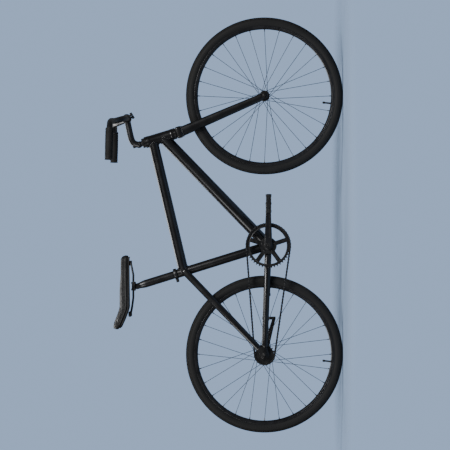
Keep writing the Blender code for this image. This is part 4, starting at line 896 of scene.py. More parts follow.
TOP_WIDE, DOWN_WIDE = 2 * TOP_TUBE_RADIUS, 2 * DOWN_TUBE_RADIUS - 0.001
CLUSTER = seat_point(SEAT_CLUSTER)
frame_seams = [
    seam(HEAD_MAIN, HEAD_AT_TOP_TUBE, CLUSTER, TOP_WIDE, TOP_WIDE),
    seam(HEAD_MAIN, HEAD_AT_DOWN_TUBE, CRANK_AXIS, DOWN_WIDE, DOWN_WIDE),
    seam(SEAT_MAIN, CLUSTER, HEAD_AT_TOP_TUBE, TOP_WIDE - 0.004, TOP_WIDE),
    seam(SHELL_MAIN, CRANK_AXIS, HEAD_AT_DOWN_TUBE, DOWN_WIDE, DOWN_WIDE),
    seam(SHELL_MAIN, CRANK_AXIS, CLUSTER, 2 * SEAT_TUBE_RADIUS, 2 * SEAT_TUBE_RADIUS)]
for side in SIDES.values():
    knots = smooth_path(chain_stay_knots(side), 8)
    frame_seams.append(seam(SHELL_MAIN, knots[0], knots[2], *CHAIN_STAY_SIZE))
    path, sizes = tapered(seat_stay_knots(side), 150, *SEAT_STAY_SIZE, SEAT_STAY_TAPER)
    frame_seams.append(side_seam(SEAT_MAIN, *domed(path[::-1], sizes[::-1], 0.010)))
weld("frame_welds", frame_seams, "frame", 0.0027, 0.0013)

# %% [markdown]
# ## Headset, bottom bracket and seat collar
#
# The headset cups are pressed on the head tube's ends, each with a thin groove where its dust
# cover begins. The bottom bracket's cups screw into the shell, so their rims have notches for a
# spanner, and a Boolean cuts them with copies from the ring tree. The seat collar is a split ring.

# %% Headset cups and bearings
CUP_RADIUS, CUP_WALL_RADIUS, CUP_BORE = 0.0230, 0.020, 0.016
CUP_SECTION = [(CUP_BORE, 0.0), (CUP_RADIUS, 0.0), (CUP_RADIUS, 0.0022), (0.0225, 0.0027),
               (0.0225, 0.0031), (CUP_RADIUS, 0.0036), (CUP_RADIUS, 0.0072), (0.0222, 0.0080),
               (CUP_WALL_RADIUS, 0.0080), (CUP_WALL_RADIUS, 0.0024), (CUP_BORE, 0.0024)]
COVER_SECTION = mm((13.3, 2.7), (19.7, 2.7), (19.7, 6.8), (18.6, 7.6), (13.3, 8))
for end, start, way in (("lower", HEAD_TUBE_BOTTOM - GAP, -1), ("upper", HEAD_TUBE_TOP + GAP, 1)):
    for part, section, ease in (("cup", CUP_SECTION, 0.00015), ("bearing", COVER_SECTION, 0.0002)):
        fit(turned(f"headset_{end}_{part}_dressed", section, steer_point(start), STEER_LINE * way,
                   BLACK_STEEL, 96, ease), "frame")


# %% Bottom bracket cups with spanner notches
def beside(origin, direction, reach):
    """The frame that aim gives, moved off its axis."""
    return aim(origin, direction) @ Matrix.Translation((reach, 0, 0))


cup_face = SHELL_WIDTH / 2 + GAP
for word, side in SIDES.items():
    out = LATERAL * side
    section = mm((21.5, 0), (21.5, 3), (21, 3.6), (15, 3.6), (14.6, 3), (11.2, 3), (8.8, 3.7),
                 (8.8, -16), (17.7, -16), (17.7, 0))
    cup = turned(f"bottom_bracket_cup_{word}_dressed", [(r, cup_face + y) for r, y in section],
                 CRANK_AXIS, out, BLACK_STEEL, 96, 0.00015)
    notch = block("notch", (0.0036, 0.0034, 0.0076),
                  beside(CRANK_AXIS + out * (cup_face + 0.003), out, 0.0213), BLACK_STEEL, 0.0004)
    fit(cut_by(cup, ringed(notch, 8, CRANK_AXIS, LATERAL)), "frame")

# %% The seat collar with its ears and slit
COLLAR_LENGTH, COLLAR_BORE = 0.013, 0.0183
collar_middle = seat_point(SEAT_TUBE_LENGTH - COLLAR_LENGTH / 2)
shape = ((COLLAR_BORE, 1), (0.0228, 1), (0.0233, 0.5), (0.0228, 0), (COLLAR_BORE, 0))
collar = turned("seat_post_collar_dressed",
                [(r, SEAT_TUBE_LENGTH - COLLAR_LENGTH * down) for r, down in shape], CRANK_AXIS,
                SEAT_LINE, ANODISED, 96, 0.0005)
ears = block("ears", (0.014, 0.0200, COLLAR_LENGTH - 0.001),
             aim(collar_middle + SEAT_BACK * 0.0262, SEAT_LINE), ANODISED, 0.0022, 4)
slit = block("slit", (0.030, 0.0024, 0.03), aim(collar_middle + SEAT_BACK * 0.0300, SEAT_LINE),
             ANODISED, 0.0002, 1)
fit(cut_by(cut_by(collar, ears, how="UNION"), slit), "frame")

# %% [markdown]
# Nuts and bolts come back all over the bicycle, so each kind gets a helper. A hexagon nut is a
# turned disc with chamfered rims, kept only where a six-sided bar passes through it, which gives
# the curved chamfers of a real nut. A socket screw is a turned head with a six-sided pocket.
# Threads are a row of small rings from the row tree.

# %% Nuts, screws, washers and threads
def hex_nut(name, base, direction, corner, height, bore):
    direction = Vector(direction).normalized()
    disc = turned(name, [(bore, 0.0), (corner * 0.92, 0.0), (corner, corner * 0.05),
                         (corner, height - corner * 0.08), (corner * 0.88, height),
                         (bore * 1.12, height), (bore, height - bore * 0.12)],
                  base, direction, BLACK_STEEL, 72)
    return cut_by(disc, drill(base, direction, corner, 6, 0.001, height + 0.001), how="INTERSECT")


def socket_screw(name, base, direction, radius, height):
    """A cylinder head with a six-sided pocket, standing on base."""
    direction = Vector(direction).normalized()
    head = turned(name, [(0.0, 0.0), (radius, 0.0), (radius, height), (0.0, height)], base,
                  direction, BLACK_STEEL, 48, radius * 0.14)
    return cut_by(head, drill(base, direction, radius * 0.58, 6, -height * 0.45, height * 1.5))


def washer(name, base, direction, outer, bore, thickness):
    profile = [(bore, 0.0), (outer, 0.0), (outer, thickness), (bore, thickness)]
    return turned(name, profile, base, direction, BLACK_STEEL, 56, thickness * 0.25)


def threaded(name, start, end, radius, pitch=0.0010):
    """A rod with a thread's ridges on it and a chamfered end."""
    core = rod("core", start, end, radius * 0.93, BLACK_STEEL, 32, radius * 0.25)
    root, crest, flank = radius * 0.86, pitch * 0.08, pitch * 0.42
    ridge = turned("ridge", [(root, -flank), (radius, -crest), (radius, crest), (root, flank)],
                   Vector(), UPWARD, BLACK_STEEL, 32)
    inset = (end - start).normalized() * pitch
    return merged(name, [core, rowed("ridges", [[start + inset, end - inset]], ridge, pitch)])


bolt_at = collar_middle + SEAT_BACK * 0.0278
collar_bolt = merged("seat_post_collar_bolt", [
    socket_screw("head", bolt_at - LATERAL * 0.0100, -LATERAL, 0.0044, 0.0046),
    washer("washer", bolt_at - LATERAL * 0.0106, LATERAL, 0.0052, 0.0026, 0.0008),
    hex_nut("nut", bolt_at + LATERAL * 0.0098, LATERAL, 0.0050, 0.0042, 0.0024),
    threaded("shank", bolt_at - LATERAL * 0.010, bolt_at + LATERAL * 0.0150, 0.0025, 0.0008)])
fit(collar_bolt, "frame")
print("collar bolt", len(collar_bolt.data.polygons))

# %% [markdown]
# ## Wheels
#
# Both wheels share one rim and tyre. The casing and the rim are turned profiles, the casing with
# a bead line and a mid-wall line like a moulded tyre. The tread is a ring of one small group of
# blocks: a zigzag rib in the middle and slanted lugs beside it. Each block is bent on the
# casing's round section, and its top edge is drawn in so that it looks moulded.

# %% Rim and casing
TYRE_TUBE = TYRE_SECTION / 2
TYRE_MIDDLE = TYRE_RADIUS - TYRE_TUBE
RIM_OUTER = BEAD_SEAT_RADIUS + 0.006
RIM_INNER = RIM_OUTER - 0.015
SIDEWALL_LINES, LINE_HALF_WIDTH = (1.13, 1.55, 1.80), 0.028
CASING_STEPS = 84


def casing(name, centre):
    """The tyre's skin from bead to bead, with thin raised lines on the sidewalls."""
    reach = math.pi / 2 + math.asin((TYRE_MIDDLE - RIM_OUTER - 0.0002) / (TYRE_TUBE - 0.0004))
    outer = []
    for step in range(CASING_STEPS + 1):
        angle = reach * (2 * step / CASING_STEPS - 1)
        lower = 0.0013 if abs(angle) < 0.98 else 0.0006
        if any(abs(abs(angle) - line) < LINE_HALF_WIDTH for line in SIDEWALL_LINES):
            lower = 0.0001
        tube = TYRE_TUBE - lower
        outer.append((TYRE_MIDDLE + tube * math.cos(angle), tube * math.sin(angle)))
    inner = arc((TYRE_MIDDLE, 0), TYRE_TUBE - 0.0034, 2.0, -2.0, 12)
    beads = [(RIM_OUTER - 0.004, 0.0112)], [(RIM_OUTER - 0.004, -0.0112)]
    return turned(name, outer + beads[0] + inner + beads[1], centre, LATERAL, TYRE_RUBBER, 192,
                  sharp=40)


def rim(name, centre):
    """A drop-centre rim with rolled flanges, straight sides and a rounded well."""
    half, inside, floor = 0.014, 0.0116, RIM_INNER + 0.0024
    outward = [(RIM_OUTER, half), (RIM_OUTER - 0.0028, half), (RIM_OUTER - 0.0031, half - 0.0003),
               (RIM_OUTER - 0.0092, half - 0.0003), (RIM_INNER + 0.0018, half * 0.60),
               (RIM_INNER, half * 0.34)]
    well = [(RIM_OUTER, -inside), (floor + 0.0057, -inside), (floor, -0.005)]
    section = outward + [(r, -y) for r, y in outward[::-1]]
    section += well + [(r, -y) for r, y in well[::-1]]
    return turned(name, section, centre, LATERAL, ANODISED, 192, 0.0007)


# %% One pitch of the tread
TREAD_PITCHES = 118
LUG_COLUMNS, LUG_ROWS = 3, 5
LUG_SHEETS = ((0.0020, 0.0), (0.00025, 0.04), (0.00005, 0.10))


def lug(bm, centre, around, across, skew):
    """A block on the casing. around and across are (from, to), in pitches and in radians."""
    def sheet(lower, inset):
        """A grid of points so far under the tyre's surface, drawn in by a share of its size."""
        tube, grid = TYRE_TUBE - lower, []
        for column in range(LUG_COLUMNS + 1):
            u = inset / 2 + (1 - inset) * column / LUG_COLUMNS
            grid.append([])
            for row in range(LUG_ROWS + 1):
                v = inset / 2 + (1 - inset) * row / LUG_ROWS
                turn = around[0] + (around[1] - around[0]) * u + skew * (v - 0.5)
                angle = across[0] + (across[1] - across[0]) * v
                grid[-1].append(bm.verts.new(wheel_point(
                    centre, TYRE_MIDDLE + tube * math.cos(angle), FULL_TURN / TREAD_PITCHES * turn,
                    tube * math.sin(angle))))
        return grid

    def border(grid):
        return ([line[0] for line in grid] + grid[-1][1:] + [line[-1] for line in grid[-2::-1]]
                + grid[0][-2:0:-1])

    sheets = [sheet(*facts) for facts in LUG_SHEETS]
    for near, far in zip(sheets[-1], sheets[-1][1:]):
        for row in range(LUG_ROWS):
            bm.faces.new((near[row], far[row], far[row + 1], near[row + 1]))
    for low, high in zip(sheets, sheets[1:]):
        a, b = border(low), border(high)
        for i in range(len(a)):
            bm.faces.new((a[i - 1], a[i], b[i], b[i - 1]))
    bm.faces.new(border(sheets[0])[::-1])
    for grid in sheets[:-1]:
        for line in grid[1:-1]:
            for vert in line[1:-1]:
                bm.verts.remove(vert)


def tread(name, centre):
    bm = bmesh.new()
    for side in (1, -1):
        for around, across, skew in (((0.04, 0.50), (0.03, 0.20), 0.35),
                                     ((0.54, 1.00), (0.05, 0.24), -0.35),
                                     ((0.16, 0.76), (0.30, 0.56), 0.55),
                                     ((0.30, 0.86), (0.64, 0.97), 0.30)):
            lug(bm, centre, around, [side * a for a in across], side * skew)
    return ringed(mesh_piece(name, bm, TYRE_RUBBER, 30), TREAD_PITCHES, centre, LATERAL, 30)


for place, centre in (("front", FRONT_AXLE), ("rear", REAR_AXLE)):
    body = f"{place}_wheel"
    fit(casing(f"{place}_tyre_casing", centre), body, f"{place}_tyre")
    fit(tread(f"{place}_tyre_tread", centre), body, f"{place}_tyre")
    fit(rim(f"{place}_rim_dressed", centre), body)
print("tyres and rims done")

# %% [markdown]
# The hubs are turned too. The front hub is slim. The rear hub has the fat barrel of a back-pedal
# brake and bigger flanges. Spokes come in pairs that lean opposite ways: one with its head
# outside the flange and one with its head inside. The pair is made once as bent wire, with an
# elbow through the flange, and the ring tree makes the other six pairs on that side.

# %% Hub shells
front_half = mm((5.3, 47), (7.8, 47), (8.2, 46.6), (8.2, 43), (11.6, 42.4), (11.8, 42),
                (11.8, 34.5), (15, 34), (20.6, 33.6), (20.9, 33), (20.9, 30.6), (20.6, 30.2),
                (16, 29), (14, 26.5), (13.2, 20), (12.8, 9), (12.8, 0))
fit(turned("front_hub_dressed", front_half + [(r, -y) for r, y in front_half[-2::-1]], FRONT_AXLE,
           LATERAL, ANODISED, 96, 0.0005), "front_wheel", "front_hub_shell")
flange_and_barrel = mm((35.2, 32.2), (35.8, 31.6), (35.8, 28.8), (35.2, 28.2), (28.5, 27.2),
                       (25.4, 25), (25, 22.2), (24.3, 21.4), (24.3, 6), (25, 5))
rear_section = mm((5.3, 38), (10, 38), (11.8, 37.4), (11.8, 34.5), (20, 33.8),
                  (29, 32.8)) + flange_and_barrel
rear_section += [(r, -y) for r, y in flange_and_barrel[::-1]]
rear_section += mm((24, -33.2), (20, -34.5), (11.8, -35), (11.8, -37.4), (10, -38), (5.3, -38))
fit(turned("rear_hub_dressed", rear_section, REAR_AXLE, LATERAL, BLACK_STEEL, 112, 0.0006),
    "rear_wheel", "rear_hub_shell")

# %% A spoke and its nipple
SPOKES_PER_SIDE = 14
SPOKE_STEP = FULL_TURN / SPOKES_PER_SIDE
ELBOW_REACH = 0.0032


def spoke_ends(centre, side, flange_radius, flange_plane, index):
    """Where a spoke passes its flange, the way it leaves it, and where it meets the rim."""
    way = 1 if index % 2 else -1
    turn = (0.0 if side > 0 else SPOKE_STEP / 2) + SPOKE_STEP * index
    hole = wheel_point(centre, flange_radius - 0.0032, turn - way * SPOKE_STEP, side * flange_plane)
    end = wheel_point(centre, RIM_INNER + 0.0005, turn + way * SPOKE_STEP, side * 0.004)
    return hole, LATERAL * side * way, end


def spoke(hole, face, end):
    """Bent wire: its head on one face of the flange, an elbow, then straight to the rim."""
    out = hole + face * ELBOW_REACH
    forward = (end - out).normalized()
    bend = [hole - face * 0.0020, hole + face * 0.0012, out + forward * 0.0006 - face * 0.0006,
            out + forward * 0.0022, out + forward * 0.006]
    path = [hole - face * 0.0029] + smooth_path(bend, 3) + [end - forward * 0.012, end]
    shank = swept("spoke", path, [(0.0020, 0.0020)] * len(path), BLACK_STEEL, 10,
                  forward.cross(face), 50)
    head = mm((0, -1.2), (1.3, -1.1), (2, -0.4), (2, 0), (1, 0.6), (0, 0.6))
    return [shank, turned("head", head, hole - face * 0.0022, face, BLACK_STEEL, 14)]


def nipple(hole, face, end):
    inward = (hole + face * ELBOW_REACH - end).normalized()
    return turned("nipple", mm((0, -1.5), (3.1, -1.2), (3.1, -0.4), (2.2, 0.2), (1.9, 6),
                               (1.6, 9.2), (1.1, 9.8), (0, 9.8)), end, inward, BRIGHT_WEAR, 12)


# %% All spokes from one pair on each side
for place, centre, flange in (("front", FRONT_AXLE, (0.021, 0.032)),
                              ("rear", REAR_AXLE, (0.036, 0.030))):
    nipples = []
    for word, side in SIDES.items():
        ends = [spoke_ends(centre, side, *flange, index) for index in (0, 1)]
        pair = merged(f"{place}_spokes_{word}_dressed", spoke(*ends[0]) + spoke(*ends[1]))
        fit(ringed(pair, SPOKES_PER_SIDE // 2, centre, LATERAL, 50), f"{place}_wheel")
        pair = merged("nipples", [nipple(*facts) for facts in ends])
        nipples.append(ringed(pair, SPOKES_PER_SIDE // 2, centre, LATERAL))
    fit(merged(f"{place}_nipples", nipples), f"{place}_wheel")
print("spokes done")

# %% [markdown]
# A valve stands inside each rim: a rubber-covered stem with a metal end and a ribbed cap. It sits
# halfway between two spokes, so that a pump fits on it.

# %% Valves
for place, centre in (("front", FRONT_AXLE), ("rear", REAR_AXLE)):
    inward = wheel_point(Vector(), -1, -math.pi / 2 - SPOKE_STEP * 0.25, 0)
    foot = centre - inward * (RIM_INNER + 0.001)
    fit(turned(f"{place}_valve_stem", mm((0, 0), (4.3, 0), (4, 2), (3.6, 3.2), (3.4, 23), (3, 23.6),
                                         (0, 23.6)), foot, inward, GRIP_RUBBER, 28),
        f"{place}_wheel")
    cap = turned("cap", mm((0, 0), (4, 0), (4.2, 0.6), (4.1, 8.2), (3, 10.4), (0, 10.8)),
                 foot + inward * 0.0238, inward, PLASTIC, 28)
    rib = block("rib", (0.0009, 0.0008, 0.0070), beside(foot + inward * 0.0282, inward, 0.0042),
                PLASTIC, 0.0003, 1)
    fit(merged(f"{place}_valve_cap", [cap, ringed(rib, 14, foot, -inward)]), f"{place}_wheel")

# %% [markdown]
# ## Axles
#
# Each axle is a threaded rod. Outside the fork's ends and the dropouts come a ridged washer and a
# chamfered nut.

# %% Axles, washers and nuts
for place, centre, body, plane in (("front", FRONT_AXLE, "fork", 0.055),
                                   ("rear", REAR_AXLE, "frame", 0.066)):
    reach, middle = plane + 0.015, LATERAL * (plane + 0.001)
    bar = [rod("middle", centre - middle, centre + middle, 0.0049, BLACK_STEEL)]
    bar += [threaded("end", centre + LATERAL * way * plane, centre + LATERAL * way * reach, 0.0050)
            for way in (1, -1)]
    fit(merged(f"{place}_axle_dressed", bar), body)
    for word, side in SIDES.items():
        out = LATERAL * side
        face = centre + out * (plane + 0.0001)
        nut = hex_nut("nut", face + out * 0.0018, out, 0.0087, 0.0074, 0.0052)
        flange = turned("flange", mm((5.2, 0), (9.8, 0), (10, 0.4), (8.6, 1.9), (5.2, 1.9)),
                        face + out * 0.0012, out, BLACK_STEEL, 64, 0.0001)
        fit(merged(f"{place}_axle_nut_{word}_dressed", [nut, flange]), body)
        under = turned("under", mm((5.2, 0), (10.4, 0), (10.4, 1.1), (5.2, 1.2)), face, out,
                       BLACK_STEEL, 72, 0.0002)
        rib = block("rib", (0.0026, 0.0006, 0.0004), beside(face + out * 0.0012, out, 0.0088),
                    BLACK_STEEL, 0.0001, 1)
        fit(merged(f"{place}_axle_washer_{word}", [under, ringed(rib, 32, face, out)]), body)
print("axles done")

# %% [markdown]
# ## Fork
#
# The fork crown is one block with rounded corners, hollow underneath, and each blade is an oval
# tube that tapers down to a flat end plate. Hard corners would look like a placeholder, so the
# crown's edges are rounded with many short steps, and the joints get weld beads as the frame has.

# %% Crown
CROWN_BOTTOM, CROWN_TOP = 0.3608, 0.3888
LOCKNUT_BOTTOM, LOCKNUT_TOP = 0.5212, 0.5322
BLADE_SPREAD, FORK_PLANE = 0.039, 0.0525
BLADE_SIZE, BLADE_TAPER = (0.018, 0.038), [1.0, 0.84, 0.68]
crown = block("fork_crown_dressed", (0.046, 0.100, CROWN_TOP - CROWN_BOTTOM),
              aim(steer_point((CROWN_TOP + CROWN_BOTTOM) / 2), STEER_LINE), POWDER_COAT, 0.0088, 6)
hollow = block("hollow", (0.034, 0.052, 0.042), aim(steer_point(CROWN_BOTTOM), STEER_LINE),
               POWDER_COAT, 0.006, 4)
fit(cut_by(crown, hollow, drill(steer_point(0.375), STEER_FRONT, 0.0031, 32, 0.03, 0.03)), "fork")
race = [(r, CROWN_TOP + y) for r, y in mm((13.1, 0), (22.2, 0), (21.4, 0.7), (13.1, 0.7))]
fit(turned("fork_crown_race", race, STEER_FOOT, STEER_LINE, BLACK_STEEL, 96, 0.0001), "fork")

# %% Blades, their end plates and weld beads
blade_seams = []
for word, side in SIDES.items():
    top = steer_point(CROWN_BOTTOM + 0.003) + LATERAL * side * BLADE_SPREAD
    bottom = FRONT_AXLE + LATERAL * side * FORK_PLANE
    bottom -= (bottom - top).normalized() * 0.014
    knots = [top, top.lerp(bottom, 0.5), bottom]
    path, sizes = domed(*tapered(knots, 14, *BLADE_SIZE, BLADE_TAPER), 0.009)
    blade = swept(f"fork_blade_{word}_dressed", path, sizes, POWDER_COAT, 44)
    up = (top - bottom).normalized() * 0.026
    edge = hull(circle(flat(FRONT_AXLE), 0.013, 64) + circle(flat(FRONT_AXLE + up), 0.009, 40))
    tip = plate("tip", [edge, circle(flat(FRONT_AXLE), AXLE_BORE)], 0.005, side * FORK_PLANE,
                POWDER_COAT, 0.0007)
    blade = cut_by(cut_by(blade, tip, how="UNION"), drill(FRONT_AXLE, LATERAL, AXLE_BORE))
    fit(blade, "fork")
    forward = (knots[1] - top).normalized()
    level = steer_point(CROWN_BOTTOM)
    blade_seams.append([p + forward * ((level - p).dot(STEER_LINE) / forward.dot(STEER_LINE))
                        for p in oval(top, forward, LATERAL, 0.0184, 0.0384, 100)])
weld("fork_welds", blade_seams, "fork", 0.0023, 0.0012)

# %% Steerer, locknut and washer
steerer = [(0.0114, CROWN_TOP + GAP), (0.0127, CROWN_TOP + GAP), (0.0127, LOCKNUT_TOP - 0.001),
           (0.0114, LOCKNUT_TOP - 0.001)]
fit(turned("fork_steerer_dressed", steerer, STEER_FOOT, STEER_LINE, BLACK_STEEL, 64, 0.0003),
    "fork")
locknut = turned("headset_locknut_dressed", [
    (0.0130, LOCKNUT_BOTTOM), (0.0189, LOCKNUT_BOTTOM), (0.0195, LOCKNUT_BOTTOM + 0.0008),
    (0.0195, LOCKNUT_TOP - 0.0014), (0.0176, LOCKNUT_TOP), (0.0140, LOCKNUT_TOP),
    (0.0130, LOCKNUT_TOP - 0.0006)], STEER_FOOT, STEER_LINE, BLACK_STEEL)
eight_sided = rod("eight_sided_bar", steer_point(LOCKNUT_BOTTOM - 0.001),
                  steer_point(LOCKNUT_TOP + 0.001), 0.0195, BLACK_STEEL, 8, 0)
fit(cut_by(locknut, eight_sided, how="INTERSECT"), "fork")
fit(washer("headset_washer", steer_point(LOCKNUT_BOTTOM - 0.0008), STEER_LINE, 0.0186, 0.0130,
           0.0007), "fork")
print("fork done")

# %% [markdown]
# ## Stem, handlebar and grips
#
# The stem is a gooseneck: a quill that slides in the steerer, a neck that bends forwards and a
# split barrel that a bolt pinches on the bar. The bar is one long smooth sweep. The grips are a
# plain core with soft ribs, which the row tree sets along the bar's own curve, a flange at the
# thumb's end and a rounded plug.

# %% Stem
STEM_FOOT = steer_point(LOCKNUT_TOP)
CLAMP_CENTRE = STEM_FOOT + STEER_FRONT * 0.1147 + STEER_LINE * 0.0301
CLAMP_OUTER, CLAMP_HALF, BAR_RADIUS = 0.0185, 0.023, 0.0122
PINCH = (STEER_FRONT * 0.25 - STEER_LINE).normalized()
neck_start = steer_point(LOCKNUT_TOP + 0.010)
neck = [neck_start - STEER_LINE * 0.0060, neck_start - STEER_LINE * 0.0045]
neck += smooth_path([neck_start, neck_start + STEER_LINE * 0.006,
                     neck_start + STEER_LINE * 0.026 + STEER_FRONT * 0.024, CLAMP_CENTRE], 10)
neck_widths = [0.0226, 0.0240] + [0.0254] * (len(neck) - 2)


def expander_pocket():
    return rod("pocket", steer_point(LOCKNUT_TOP + 0.0360), steer_point(LOCKNUT_TOP + 0.05), 0.0066,
               ANODISED, 40, 0)


stem = swept("stem_dressed", neck, [(w, w) for w in neck_widths], ANODISED, 48)
stem = cut_by(stem, rod("barrel", CLAMP_CENTRE - LATERAL * CLAMP_HALF,
                        CLAMP_CENTRE + LATERAL * CLAMP_HALF, CLAMP_OUTER, ANODISED, 80, 0.0016),
              how="UNION")
ears = block("ears", (0.0170, 0.0200, 0.0150), aim(CLAMP_CENTRE + PINCH * 0.0225, PINCH),
             ANODISED, 0.0028, 4)
stem = cut_by(stem, ears, how="UNION")
stem = cut_by(stem, drill(CLAMP_CENTRE, LATERAL, BAR_RADIUS + GAP, 80, 0.05, 0.05),
              block("slit", (0.0024, 0.06, 0.030), aim(CLAMP_CENTRE + PINCH * 0.0260, PINCH),
                    ANODISED, 0.0001, 1), expander_pocket())
quill = rod("quill", steer_point(LOCKNUT_TOP - 0.075), steer_point(LOCKNUT_TOP + 0.012), 0.0111,
            ANODISED, 48, 0.0008)
boss = rod("boss", steer_point(LOCKNUT_TOP + 0.020), steer_point(LOCKNUT_TOP + 0.0395), 0.0088,
           ANODISED, 48, 0.0020)
fit(merged("stem_dressed", [stem, quill, cut_by(boss, expander_pocket())]), "stem")
print("clamp centre", [round(v, 4) for v in CLAMP_CENTRE])

# %% The stem's bolts
pinch_line = LATERAL.cross(PINCH)
pinch_at = CLAMP_CENTRE + PINCH * 0.0245
fit(merged("stem_bolts", [
    socket_screw("expander", steer_point(LOCKNUT_TOP + 0.0350), STEER_LINE, 0.0062, 0.0052),
    socket_screw("pinch", pinch_at - pinch_line * 0.0084, -pinch_line, 0.0048, 0.0050),
    hex_nut("nut", pinch_at + pinch_line * 0.0084, pinch_line, 0.0054, 0.0045, 0.0026),
    threaded("shank", pinch_at - pinch_line * 0.008, pinch_at + pinch_line * 0.0142, 0.0028,
             0.0008)]), "stem")


# %% Handlebar
def mirrored(point):
    return Vector((point.x, -point.y, point.z))


BAR_SHAPE = [(0.0, 0.0, 0.0), (0.0, 0.09, 0.0), (0.0, 0.14, 0.0), (-0.02, 0.33, 0.22),
             (-0.08, 0.52, 0.72), (-0.10, 0.70, 0.96), (-0.20, 0.86, 1.0), (-0.42, 0.945, 1.02),
             (-0.68, 0.985, 1.035), (-1.0, 1.0, 1.055)]
BAR_REACH, BAR_HALF, BAR_RISE = 0.169, 0.283, 0.060
half_bar = smooth_path([CLAMP_CENTRE + Vector((x * BAR_REACH, y * BAR_HALF, z * BAR_RISE))
                        for x, y, z in BAR_SHAPE], 8)
bar_path = [mirrored(p) for p in reversed(half_bar[1:])] + half_bar
fit(swept("handlebar_dressed", bar_path, [(2 * BAR_RADIUS, 2 * BAR_RADIUS)] * len(bar_path),
          ANODISED, 48, UPWARD), "handlebar")

# %% The core of a grip, as distances from the bar's end and radii
GRIP_FLANGE = mm((124, 14), (123.5, 16.2), (122, 16.7), (120.5, 16.7), (119.5, 16.2), (118.5, 14.9))
GRIP_PLUG = mm((0.6, 15.8), (1.6, 16.4), (2.8, 16), (3.6, 14.4), (3.9, 10), (4, 0.4))
grip_core = GRIP_FLANGE[:]
for step in range(41):
    back = 0.117 - 0.117 * step / 40
    bulge = math.sin(math.pi * min(max((0.112 - back) / 0.095, 0), 1))
    grip_core.append((back, 0.0146 + 0.0009 * bulge))


def along(path, reach):
    """The point of the path at a distance back from its end."""
    for before, after in zip(reversed(path[:-1]), reversed(path[1:])):
        run = (after - before).length
        if run >= reach:
            return after.lerp(before, reach / run)
        reach -= run
    return path[0]


# %% Grips
for word, side in SIDES.items():
    path = half_bar if side > 0 else [mirrored(p) for p in half_bar]
    out = (path[-1] - path[-2]).normalized()
    line = [along(path, back) for back, _ in grip_core]
    line += [path[-1] + out * reach for reach, _ in GRIP_PLUG]
    sizes = [(2 * radius, 2 * radius) for _, radius in grip_core + GRIP_PLUG]
    fit(swept(f"grip_{word}_dressed", line, sizes, GRIP_RUBBER, 48, UPWARD), "handlebar")
    rib = turned("rib", mm((12, -1.6), (15.2, -1.4), (16.3, -0.6), (16.3, 0.6), (15.2, 1.4),
                           (12, 1.6)), Vector(), UPWARD, GRIP_RUBBER, 48, 0.0003)
    row = [along(path, 0.112 - 0.012 * step) for step in range(9)] + [along(path, 0.006)]
    fit(rowed(f"grip_{word}_ribs", [row], rib, 0.0046, sharp=40), "handlebar", f"grip_{word}")
print("bar length", round(sum((b - a).length for a, b in zip(bar_path, bar_path[1:])), 3))

# %% [markdown]
# ## Seat post and saddle clamp
#
# The post is turned, drawn in towards its head, with a thin groove that marks how far it must
# stay in the frame. Its head is a short cross tube. The clamp rocks on that tube: a lower and an
# upper jaw hold the saddle's two rails, toothed rings keep it from slipping, and bolts pull the
# jaws together.

# %% Post
POST_TOP, POST_FOOT, POST_RADIUS = 0.5565, 0.2465, 0.0158
PIVOT = seat_point(POST_TOP)
post = [(r, POST_FOOT + y) for r, y in (
    (0.0136, 0.0), (POST_RADIUS, 0.0), (POST_RADIUS, 0.0990), (0.0155, 0.0993), (0.0155, 0.1000),
    (POST_RADIUS, 0.1003))]
post += [(r, POST_TOP - y) for r, y in (
    (POST_RADIUS, 0.034), (0.0150, 0.026), (0.0132, 0.017), (0.0122, 0.010), (0.0118, 0.002),
    (0.0060, 0.0), (0.0, 0.0), (0.0, 0.020), (0.0136, 0.040))]
tube = turned("tube", post, CRANK_AXIS, SEAT_LINE, ANODISED, 80, 0.0006)
cross = rod("cross", PIVOT - LATERAL * 0.017, PIVOT + LATERAL * 0.017, 0.0119, ANODISED, 72, 0.0008)
tooth = block("tooth", (0.0008, 0.0012, 0.0300), beside(PIVOT, LATERAL, 0.0118), ANODISED,
              0.0002, 1)
fit(merged("seat_post_dressed", [tube, cross, ringed(tooth, 40, PIVOT, LATERAL)]), "seat_post")

# %% Jaws and their bolts
RAILS_LEVEL = PIVOT + UPWARD * 0.017
RAIL_SPREAD = 0.022


def jaw(size, lift, edge):
    """A block over the rails, with their grooves cut through it."""
    return cut_by(block("jaw", size, RAILS_LEVEL + UPWARD * lift, ANODISED, edge, 4), *[
        drill(RAILS_LEVEL + LATERAL * way * RAIL_SPREAD, FORWARD, 0.0038, 32, 0.05, 0.05)
        for way in (1, -1)])


lower = cut_by(jaw((0.036, 0.058, 0.0085), -0.00575, 0.0022),
               drill(PIVOT, LATERAL, 0.0123, 72, 0.06, 0.06))
fit(merged("saddle_clamp_dressed", [lower, jaw((0.034, 0.056, 0.0052), 0.0034, 0.0016)]),
    "saddle_cradle")
clamp_bolts = []
for way in (-1, 1):
    at = RAILS_LEVEL + Vector((way * 0.0135, 0, 0.0059))
    clamp_bolts += [socket_screw("head", at, UPWARD, 0.0040, 0.0028),
                    rod("shank", at - UPWARD * 0.013, at, 0.0026, BLACK_STEEL, 24)]
fit(merged("saddle_clamp_bolts", clamp_bolts), "saddle_cradle")
print("post head", [round(v, 4) for v in PIVOT])

# %% [markdown]
# ## Saddle
#
# The saddle has three layers: steel rails, a moulded base and a padded cover. The same plan
# curve shapes all of them: a narrow nose, a smooth flare, and a tail that kicks up. The rails
# are one wire bent round the nose, and the base has a rolled rim and a few ribs underneath.

# %% The saddle's plan. A share of 0 is the nose and 1 the tail
SADDLE_LENGTH, SADDLE_THICKNESS = 0.300, 0.037
SADDLE_NOSE = PIVOT.x + 0.1255


def saddle_x(share):
    return SADDLE_NOSE - SADDLE_LENGTH * share


